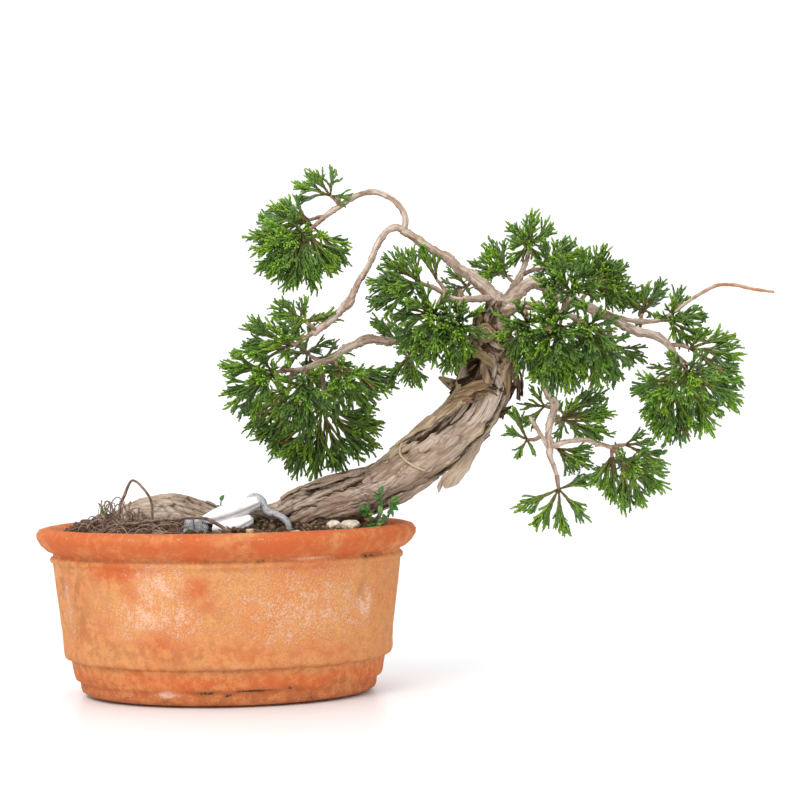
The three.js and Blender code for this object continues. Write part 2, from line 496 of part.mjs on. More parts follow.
function addRods(stations, owner, factor = 1) {
  for (let i = 1; i < stations.length; i++) {
    const radius = factor * Math.max(stations[i - 1][3], stations[i][3]);
    rods.push({ from: vector(stations[i - 1]), to: vector(stations[i]), radius, owner });
  }
}

function distanceBetween(a, b, c, d) {
  const u = b.clone().sub(a);
  const v = d.clone().sub(c);
  const w = a.clone().sub(c);
  const uu = Math.max(u.dot(u), 1e-9);
  const vv = Math.max(v.dot(v), 1e-9);
  const uv = u.dot(v);
  const uw = u.dot(w);
  const vw = v.dot(w);
  const flat = uu * vv - uv * uv;
  let s = flat > 1e-9 ? THREE.MathUtils.clamp((uv * vw - vv * uw) / flat, 0, 1) : 0;
  const t = THREE.MathUtils.clamp((uv * s + vw) / vv, 0, 1);
  s = THREE.MathUtils.clamp((uv * t - uw) / uu, 0, 1);
  return a.clone().addScaledVector(u, s).distanceTo(c.clone().addScaledVector(v, t));
}

// True where a shoot from one point to another passes nothing nearer than the gap. The first stretch, where it
// leaves its own stem, is tested against other sprays only.
const FREE_STRETCH = 2.6;

function isClear(from, to, radius, owner, parents) {
  const whole = to.distanceTo(from);
  const start = from.clone().lerp(to, Math.min(FREE_STRETCH / whole, 0.9));
  const middle = from.clone().lerp(to, 0.5);
  for (const rod of rods) {
    const reach = whole / 2 + rod.from.distanceTo(rod.to) / 2 + rod.radius + radius + GAP;
    if (Math.abs(rod.from.x + rod.to.x - 2 * middle.x) > 2 * reach) continue;
    if (rod.from.clone().lerp(rod.to, 0.5).distanceTo(middle) > reach) continue;
    const own = rod.owner === owner;
    if (own && parents.has(rod.branch)) continue;
    const gap = distanceBetween(own ? start : from, to, rod.from, rod.to) - rod.radius - radius;
    if (gap < (own ? 0.05 : GAP)) return false;
  }
  return true;
}

// A spray is grown face by face from one closed surface: each branch starts from a triangle of its parent and
// ends in a point, so that the whole spray is one body.
class Growth {
  constructor(owner) {
    this.owner = owner;
    this.points = [];
    this.faces = [];
    this.branches = 0;
  }

  addFace(a, b, c) {
    const [p, q, r] = [a, b, c].map((i) => this.points[i]);
    const middle = p.clone().add(q).add(r).divideScalar(3);
    const normal = new THREE.Vector3().crossVectors(q.clone().sub(p), r.clone().sub(p)).normalize();
    this.faces.push({ corners: [a, b, c], middle, normal, open: true });
    return this.faces.length - 1;
  }

  addRing(at, tangent, radius, last) {
    const [first, second] = frameAcross(tangent, startDirection(tangent));
    let turn = 0;
    if (last) {
      const centre = new THREE.Vector3();
      for (const i of last) centre.addScaledVector(this.points[i], 1 / 3);
      let x = 0;
      let y = 0;
      last.forEach((i, k) => {
        const out = this.points[i].clone().sub(centre);
        const angle = Math.atan2(out.dot(second), out.dot(first)) - (2 * Math.PI * k) / 3;
        x += Math.cos(angle);
        y += Math.sin(angle);
      });
      turn = Math.atan2(y, x);
    }
    return [0, 1, 2].map((k) => {
      const angle = turn + (2 * Math.PI * k) / 3;
      const p = at.clone().addScaledVector(first, radius * Math.cos(angle));
      this.points.push(p.addScaledVector(second, radius * Math.sin(angle)));
      return this.points.length - 1;
    });
  }

  joinRings(last, ring) {
    const sides = [];
    for (let k = 0; k < 3; k++) {
      const next = (k + 1) % 3;
      sides.push([this.addFace(last[k], last[next], ring[next]), this.addFace(last[k], ring[next], ring[k])]);
    }
    return sides;
  }

  addPoint(ring, tip) {
    this.points.push(tip);
    const last = this.points.length - 1;
    return [0, 1, 2].map((k) => this.addFace(ring[k], ring[(k + 1) % 3], last));
  }

  // The root's flat foot, then rings along a route: returns the last ring and the side faces of each stretch
  startRoot(route, radius) {
    const tangent = route[1].clone().sub(route[0]).normalize();
    let ring = this.addRing(route[0], tangent, radius, null);
    this.faces.push({ corners: [ring[0], ring[2], ring[1]], open: false });
    const sides = [];
    for (let i = 1; i < route.length; i++) {
      const ahead = (route[i + 1] ?? route[i]).clone().sub(route[i - 1]).normalize();
      const next = this.addRing(route[i], ahead, radius, ring);
      sides.push(this.joinRings(ring, next));
      ring = next;
    }
    return { ring, sides };
  }

  // A branch out of an open face. radii has one value for each point of the route but the first and the last.
  growFrom(face, route, radii) {
    this.faces[face].open = false;
    this.faces[face].used = true;
    let ring = this.faces[face].corners;
    const sides = [];
    for (let i = 1; i < route.length - 1; i++) {
      const ahead = route[i + 1].clone().sub(route[i - 1]).normalize();
      const next = this.addRing(route[i], ahead, radii[i - 1], ring);
      sides.push(this.joinRings(ring, next));
      ring = next;
    }
    this.addPoint(ring, route[route.length - 1]);
    return sides;
  }

  openFaceTowards(stretches, direction, least) {
    let best = null;
    let bestMatch = least;
    for (const stretch of stretches) {
      for (const face of stretch.flat()) {
        const match = this.faces[face].normal.dot(direction);
        if (this.faces[face].open && match > bestMatch) {
          best = face;
          bestMatch = match;
        }
      }
    }
    return best;
  }

  geometry() {
    const points = this.points.flatMap((p) => [p.x, p.y, p.z]);
    return geometryFrom(points, this.faces.filter((f) => !f.used).flatMap((f) => f.corners));
  }
}

// Points at given shares of a bend that leaves a face along one direction and ends at a tip
function bend(from, towards, tip, shares) {
  const control = from.clone().addScaledVector(towards, 0.35 * from.distanceTo(tip));
  const curve = new THREE.QuadraticBezierCurve3(from, control, tip);
  return [0, ...shares, 1].map((share) => curve.getPoint(share));
}

function leanFrom(axis, angle, turn) {
  const [first, second] = frameAcross(axis, startDirection(axis));
  const out = first.multiplyScalar(Math.cos(turn)).addScaledVector(second, Math.sin(turn));
  return axis.clone().multiplyScalar(Math.cos(angle)).addScaledVector(out, Math.sin(angle));
}

// Side shoots out of the open faces of each stretch of a plume
function addShoots(growth, route, sides, branch, random) {
  const tip = route[route.length - 1];
  const own = new Set([branch]);
  sides.forEach((stretch, i) => {
    const along = route[i + 1].clone().sub(route[i]).normalize();
    const left = route[i].distanceTo(tip);
    const faces = [stretch[0][0], stretch[1][1], stretch[2][0], stretch[i % 3][1]];
    for (const face of faces) {
      const { middle, normal, open, corners } = growth.faces[face];
      const length = THREE.MathUtils.clamp(SHOOT_SHARE * left, SHOOT_SHORTEST, SHOOT_LONGEST) * (0.85 + 0.3 * random());
      if (!open) continue;
      const out = along.clone().multiplyScalar(Math.cos(SHOOT_ANGLE)).addScaledVector(normal, Math.sin(SHOOT_ANGLE));
      for (const share of [1, 0.6]) {
        const end = middle.clone().addScaledVector(out, share * length);
        if (!isClear(middle, end, SHOOT_RADIUS, growth.owner, own)) continue;
        growth.faces[face].open = false;
        growth.faces[face].used = true;
        growth.addPoint(corners, end);
        rods.push({ from: middle, to: end, radius: SHOOT_RADIUS, owner: growth.owner, branch });
        break;
      }
    }
  });
}

function addPlume(growth, stretches, towards, tip, shares, parents, least) {
  const aim = tip.clone().sub(growth.faces[stretches[0].flat()[0]].middle).normalize();
  const face = growth.openFaceTowards(stretches, aim, least);
  if (face === null) return null;
  const { middle, normal } = growth.faces[face];
  const leave = towards.clone().addScaledVector(normal, 0.5).normalize();
  const route = bend(middle, leave, tip, shares);
  for (let i = 1; i < route.length; i++) {
    if (!isClear(route[i - 1], route[i], PLUME_TIP_RADIUS, growth.owner, parents)) return null;
  }
  const branch = ++growth.branches;
  const radii = shares.map((share) => THREE.MathUtils.lerp(PLUME_RADIUS, PLUME_TIP_RADIUS, share));
  const sides = growth.growFrom(face, route, radii);
  for (let i = 1; i < route.length; i++) {
    rods.push({ from: route[i - 1], to: route[i], radius: PLUME_TIP_RADIUS, owner: growth.owner, branch });
  }
  return { branch, route, sides };
}

// A fan: one plume along its axis, with more of them spread over the cone round it, the outer ones shorter
function addFan(growth, hub, crown, [x, y, z, spread], random) {
  const tip = new THREE.Vector3(x, y, z);
  const axis = tip.clone().sub(hub).normalize();
  const whole = tip.distanceTo(hub);
  const main = addPlume(growth, crown, axis, tip, FAN_RINGS, new Set([0]), -0.2);
  if (!main) return;
  const parents = new Set([0, main.branch]);
  const widest = THREE.MathUtils.degToRad(spread);
  const count = THREE.MathUtils.clamp(Math.round((whole * widest) / PLUME_SPACING), 2, MOST_PLUMES);
  const turn = 2 * Math.PI * random();
  for (let k = 0; k < count; k++) {
    for (let attempt = 0; attempt < ATTEMPTS; attempt++) {
      const lean = widest * Math.sqrt((k + 0.8) / count) * (1 - 0.08 * attempt);
      const out = leanFrom(axis, lean, turn + k * GOLDEN_ANGLE + 0.6 * attempt);
      const far = whole * (1 - 0.22 * (lean / widest) ** 2) * (0.92 + 0.14 * random());
      const end = hub.clone().addScaledVector(out, far);
      const shares = far > 24 ? [0.3, 0.55] : [0.36];
      const plume = addPlume(growth, main.sides.slice(0, 2), axis, end, shares, parents, 0);
      if (!plume) continue;
      addShoots(growth, plume.route, plume.sides, plume.branch, random);
      break;
    }
  }
  addShoots(growth, main.route.slice(2), main.sides.slice(2), main.branch, random);
}

function sprayGeometry(name, { twig, fans }, seed) {
  const random = randomFrom(seed);
  const growth = new Growth(name);
  const { end, hub } = footOf(twig);
  const towards = hub.clone().sub(end).normalize();
  const foot = end.clone().addScaledVector(towards, GAP);
  const reach = Math.max(foot.distanceTo(hub), 4);
  const route = [0, 0.34, 0.67, 1].map((share) => foot.clone().addScaledVector(towards, share * reach));
  const root = growth.startRoot(route, STEM_RADIUS);
  const crown = growth.addPoint(root.ring, route[3].clone().addScaledVector(towards, 1.5));
  rods.push({ from: foot, to: route[3], radius: STEM_RADIUS, owner: name, branch: 0 });
  for (const fan of fans) addFan(growth, route[3], [...root.sides.slice(1), [crown]], fan, random);
  return growth.geometry();
}

// A stone is a rounded block pushed in and out a little by a formula.
function stoneGeometry(size, at, grow) {
  const stone = mergeVertices(bareOf(new THREE.IcosahedronGeometry(1, size[0] > STONE_ROUNDED_FROM ? 1 : 0)), 1e-4);
  const position = stone.attributes.position;
  for (let i = 0; i < position.count; i++) {
    const p = new THREE.Vector3().fromBufferAttribute(position, i);
    const bump = 1 + 0.13 * Math.sin(3 * p.x + at[0]) * Math.cos(4 * p.y + at[1]) + 0.06 * Math.sin(5 * p.z + at[0]);
    p.multiplyScalar(bump);
    position.setXYZ(i, p.x * (size[0] + grow), p.y * (size[1] + grow), p.z * (size[2] + grow));
  }
  stone.rotateZ(at[0] * 0.05);
  stone.translate(at[0], at[1], soilHeight(...at) + 0.35 * size[2]);
  return stone;
}

function bareOf(geometry) {
  geometry.deleteAttribute("normal");
  geometry.deleteAttribute("uv");
  return geometry;
}

// A weed's leaf is an oval lens on a short stalk.
function leafSolid([x, y, z, length, lean]) {
  const half = length / 2;
  const outline = 6;
  const points = [0, 0, WEED_LEAF_THICKNESS / 2, 0, 0, -WEED_LEAF_THICKNESS / 2];
  const indices = [];
  for (let k = 0; k < outline; k++) {
    const angle = (2 * Math.PI * k) / outline;
    points.push(half * Math.cos(angle), 0.36 * length * Math.sin(angle) * (1 - 0.2 * Math.cos(angle)), 0);
    const a = 2 + k;
    const b = 2 + ((k + 1) % outline);
    indices.push(0, a, b, 1, b, a);
  }
  const leaf = geometryFrom(points, indices);
  leaf.translate(half * 0.86, 0, 0);
  leaf.rotateX(Math.PI / 3);
  leaf.rotateY(-THREE.MathUtils.degToRad(lean));
  leaf.translate(x, y, z);
  return solidOf(leaf);
}

function weedStations([x, y], tip) {
  const top = vector(tip);
  const foot = new THREE.Vector3(x, y, soilHeight(x, y) - 3);
  const middle = foot.clone().lerp(top, 0.5).add(new THREE.Vector3(0.4, 0.3, 0));
  return [foot, middle, top].map((p) => [p.x, p.y, p.z, WEED_STEM_RADIUS]);
}

function weedSolid({ stems, leaves }, grow) {
  const pieces = stems.map(([foot, tip]) => tube(weedStations(foot, tip), { sides: 4, grow }));
  if (grow) return pieces;
  return [biggestBody(Manifold.union([...pieces, ...leaves.map(leafSolid)]))];
}

// The wire comes up out of the soil, bends round the deadwood's end, runs behind it and ends in a tight coil.
function wireStations() {
  const { x, y, z, radius, turns, pitch, steps } = WIRE_COIL;
  const stations = WIRE_ROUTE.map((p) => [...p, WIRE_RADIUS]);
  for (let i = 1; i <= steps; i++) {
    const turned = (turns * i) / steps;
    const angle = -2 * Math.PI * turned;
    stations.push([x - pitch * turned, y + radius * Math.cos(angle), z + radius * Math.sin(angle), WIRE_RADIUS]);
  }
  return stations;
}

// Assembly
const bonsai = new THREE.Group();
bonsai.name = "savin_juniper_bonsai";

function add(name, geometry, material) {
  const mesh = new THREE.Mesh(geometry, MATERIALS[material]);
  mesh.name = name;
  bonsai.add(mesh);
}

let soil = soilSolid().subtract(socket(LIMBS.trunk, TRUNK_TUBE));
const addSolid = (name, solid, material) => add(name, geometryOf(solid), material);

addSolid("pot", potSolid(), "terracotta");
addSolid("trunk", trunkSolid(), "bark");

const deadwoodTubes = [DEADWOOD_UPPER, DEADWOOD_LOWER];
addSolid("deadwood", Manifold.union(deadwoodTubes.map((stations) => tube(stations, { sides: 7 }))), "deadwood");
addSolid("wire", tube(wireStations(), { sides: 6 }), "wire");
for (const stations of deadwoodTubes) soil = soil.subtract(socket(stations, { sides: 7 }));
soil = soil.subtract(socket(wireStations().slice(0, WIRE_ROUTE.length + 4), { sides: 6 }));
soil = soil.subtract(tube(COIL_TROUGH, { sides: 8 }));
for (const [name, stations] of Object.entries(ROOTS)) {
  addSolid(name, tube(stations, { sides: 4 }), "root");
  soil = soil.subtract(socket(stations, { sides: 4 }));
}
for (const [name, { at, size }] of Object.entries(STONES)) {
  add(name, stoneGeometry(size, at, 0), name.startsWith("pebble") ? "stone" : "bark");
  soil = soil.subtract(solidOf(stoneGeometry(size, at, GAP)));
}
for (const [name, weed] of Object.entries(WEEDS)) {
  addSolid(name, weedSolid(weed, 0)[0], "weed");
  for (const hole of weedSolid(weed, GAP)) soil = soil.subtract(hole);
}
addSolid("soil", biggestBody(soil).simplify(SMALLEST_EDGE), "soil");

for (const [name, stations] of Object.entries(LIMBS)) addRods(stations, "trunk", name === "trunk" ? 1.15 : 1);
for (const [name, { twig }] of Object.entries(SPRAYS)) {
  addRods(footStations(twig), "foot_" + name);
}
Object.entries(SPRAYS).forEach(([name, spray], i) => {
  add("spray_" + name, sprayGeometry("foot_" + name, spray, 101 + i), "foliage");
});

export default bonsai;
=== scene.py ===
import math

import bmesh
import bpy
import numpy as np
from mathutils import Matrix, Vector
from mathutils.geometry import tessellate_polygon


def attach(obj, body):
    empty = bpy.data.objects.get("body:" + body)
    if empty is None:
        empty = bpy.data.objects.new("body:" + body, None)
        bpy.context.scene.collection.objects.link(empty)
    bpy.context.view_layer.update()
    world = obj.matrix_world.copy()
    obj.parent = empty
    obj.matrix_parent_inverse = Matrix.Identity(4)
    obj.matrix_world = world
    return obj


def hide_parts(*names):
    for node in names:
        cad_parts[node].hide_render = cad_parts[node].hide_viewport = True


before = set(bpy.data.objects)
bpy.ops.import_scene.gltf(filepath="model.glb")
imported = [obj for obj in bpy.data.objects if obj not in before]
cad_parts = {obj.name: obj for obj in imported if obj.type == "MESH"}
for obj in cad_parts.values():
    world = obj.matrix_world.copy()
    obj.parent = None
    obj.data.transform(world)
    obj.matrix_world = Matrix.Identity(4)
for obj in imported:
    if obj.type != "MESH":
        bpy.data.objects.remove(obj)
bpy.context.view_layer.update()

# Sizes and places are in millimetres, in the frame of the CAD part, and become metres when a mesh is made.
MM = 0.001
GOLDEN_ANGLE = math.pi * (3 - math.sqrt(5))

# Pot: half-width and height of its wall, up the outside and down the inside
POT_DEPTH_RATIO = 0.773
POT_SHIFT = 1.0  # of its wall towards the right
POT_SIDES = 240
DRAIN_RADIUS = 8
DRAIN_OFFSET = 42
POT_OUTSIDE = [(0, 0), (74, 0), (76, 0.4), (81.8, 1.6), (84.2, 3.0), (84.9, 4.8), (85.1, 7.4),
    (85.4, 8.6), (86.6, 9.2), (87.7, 9.9), (88.3, 11), (88.9, 13), (89.7, 18.4), (90.1, 20.4),
    (90.7, 21.2), (92.4, 21.8), (93.8, 22.6), (94.4, 24), (94.7, 26), (95.3, 38), (100.0, 76.6),
    (101.3, 77.6), (101.6, 78.6), (101.2, 79.8), (100.0, 80.6), (99.7, 81.6), (100.3, 82.4),
    (103.2, 83.6), (106.8, 86.8), (109.1, 90.6), (109.3, 93.2), (107.4, 95.8), (104, 96.7),
    (100.8, 95.9)]
POT_INSIDE = [(98, 93), (96.8, 90), (93.5, 80), (81.5, 15), (76, 8), (0, 8)]
SOIL_EDGE_HEIGHT = 92.5
SOIL_MOUND_HEIGHT = 9.5
SOIL_HALF_WIDTH = 96
SOIL_SHEET_REACH = 96.9  # of the sheet that shows, up to the pot's wall
SOIL_SIDES = 220
STREWN_REACH = 0.985  # of the soil's oval
SOIL_RINGS = 90

# A limb is a run of stations [x, y, z, radius] from where it leaves its parent to its tip.
LIMBS = {
    "trunk": [[-72, 12, 93, 4.6], [-64, 12, 96, 6.9], [-52, 12, 100, 11.0], [-33, 11, 101, 14.4],
        [-16, 9, 98, 13.0], [1, 7, 93, 11.0], [18, 5, 95, 11.5], [34, 2, 98, 11.5], [46, 0, 103, 12.7],
        [64, -2, 109, 13.6], [85, -5, 116, 13.0], [107, -7, 129, 14.4], [128, -8, 145, 15.0],
        [143, -6, 159, 15.0], [149, -3, 171, 16.2], [152, -1, 182, 16.5], [154, 1, 194, 13.3],
        [156, 2, 204, 11.3], [157, 3, 214, 9.2], [160, 3, 222, 6.9]],
    "arch": [[160.5, 2, 221, 4.6], [153, 0, 230, 3.8], [144.5, -2, 237, 3.2], [137, -4, 242, 2.9],
        [131.5, -5, 247, 2.7], [124, -6, 251.5, 2.5], [117, -8, 256, 2.4], [109.5, -9, 261, 2.2],
        [104.5, -10, 264, 2.2]],
    "arch_low": [[105.5, -10, 263.5, 2.0], [101.5, -11, 265.5, 1.9], [97, -12, 264, 1.8],
        [91.5, -13, 257.5, 1.7], [84.5, -15, 242.5, 1.7], [79.5, -17, 234.5, 1.8], [76, -18, 227, 2.1],
        [74, -18, 223, 2.7], [70.5, -19, 219.5, 2.0], [64, -20, 213.5, 2.0], [58.5, -21, 209, 2.0],
        [53, -22, 205.5, 1.7]],
    "arch_high": [[105, -10, 263, 2.0], [106.5, -9, 269, 1.8], [105.5, -8, 274.5, 1.7],
        [101.5, -6, 280.5, 1.6], [95, -4, 285, 1.6], [87.5, -2, 287, 1.6], [80.5, 0, 286, 1.6],
        [75, 2, 283.5, 1.7], [69, 3, 279.5, 1.7], [63.5, 3, 276.5, 1.5], [59, 3, 272.5, 1.3]],
    "left_limb": [[150, 2, 197.5, 3.5], [136, 6, 202, 2.9], [120, 8, 204, 2.5], [106.5, 6, 202, 2.4],
        [98.5, 4, 201, 2.3], [92, 2, 201.5, 2.4], [84, 0, 202, 2.4], [76, -3, 199, 2.3],
        [69.5, -5, 196, 2.2], [64, -7, 191.5, 2.1], [56.5, -9, 189, 2.0], [48, -12, 185.5, 1.7],
        [40, -14, 184.5, 1.4]],
    "inner_limb": [[154, -2, 225, 2.3], [147.5, -6, 224, 2.0], [139.5, -9, 224, 1.7],
        [132.5, -12, 224.5, 1.6], [127, -15, 227.5, 1.4], [121, -18, 231, 1.3]],
    "right_limb": [[159.5, 3, 220.5, 4.6], [165.5, 3, 222.5, 3.8], [170.5, 2, 227, 3.5],
        [176, 1, 232, 3.5], [181, 1, 233.5, 3.5], [187.5, 3, 230.5, 3.1], [195.5, 6, 226, 2.9],
        [204.5, 7, 222.5, 2.8], [216, 6, 217, 2.6], [227, 2, 211, 2.5], [239, -3, 204.5, 2.5],
        [249.5, -6, 201.5, 2.4], [256.5, -8, 196, 2.1], [260.5, -9, 189.5, 1.7]],
    "bare_twig": [[217.5, 6, 217, 1.5], [231.5, 3, 212, 1.4], [243.5, 1, 210, 1.4], [253.5, -2, 211, 1.3],
        [261, -3, 215.5, 1.2], [266.5, -3, 219.5, 1.0], [276, -3, 225.5, 0.9], [285.5, -2, 230, 0.9],
        [295, -1, 230.5, 0.9], [306, 0, 228, 0.9], [319, 1, 226, 0.7]],
    "top_limb": [[162, 3, 221.5, 3.5], [167.5, 12, 228.5, 2.5], [174, 22, 239, 2.0], [178, 27, 248.5, 1.4]],
    "front_limb": [[162.5, -2, 216.5, 3.5], [171.5, -12, 219.5, 2.5], [182, -20, 218.5, 2.2],
        [193, -26, 214.5, 1.8], [202.5, -28, 211.5, 1.4]],
    "hanging_limb": [[190, 4, 229.5, 2.5], [190, -1, 216.5, 2.4], [186.5, -8, 200, 2.3],
        [185, -12, 185.5, 2.1], [185, -12, 177, 2.1], [186, -12, 170, 2.1], [190.5, -12, 162.5, 2.4],
        [188, -12, 155.5, 2.2], [186.5, -11, 146.5, 2.1], [187.5, -10, 138.5, 2.0]],
    "hanging_tail": [[187.5, -10, 140.5, 1.7], [187.5, -10, 133.5, 1.4], [189.5, -10, 127.5, 1.3],
        [191, -10, 122, 1.0]],
    "hanging_arm": [[187.5, -10, 139, 1.6], [191.5, -10, 140, 1.4], [197, -11, 141.5, 1.4],
        [207.5, -12, 142.5, 1.4], [215.5, -13, 140, 1.3], [223, -14, 137.5, 1.1]],
    "hanging_stub": [[187, -10, 138.5, 1.5], [182, -12, 145.5, 1.3], [179, -13, 151, 1.3],
        [176, -14, 156, 0.9]],
}

# Broken ends of dead branches on the trunk: [x, y, z, radius] at the foot and at the tip
STUBS = [
    [[141, 0, 171, 4.5], [131, -1, 176, 3], [124.5, 0, 179.5, 0.8]],
    [[150, -4, 186, 5], [160.5, -5, 181, 3.4], [167, -4, 178, 1.2]],
    [[152, -2, 196, 4], [147, -12, 200, 3], [144, -15, 203, 1.4]],
    [[138, -9, 225, 2], [137, -11, 229.5, 1.2]],
]

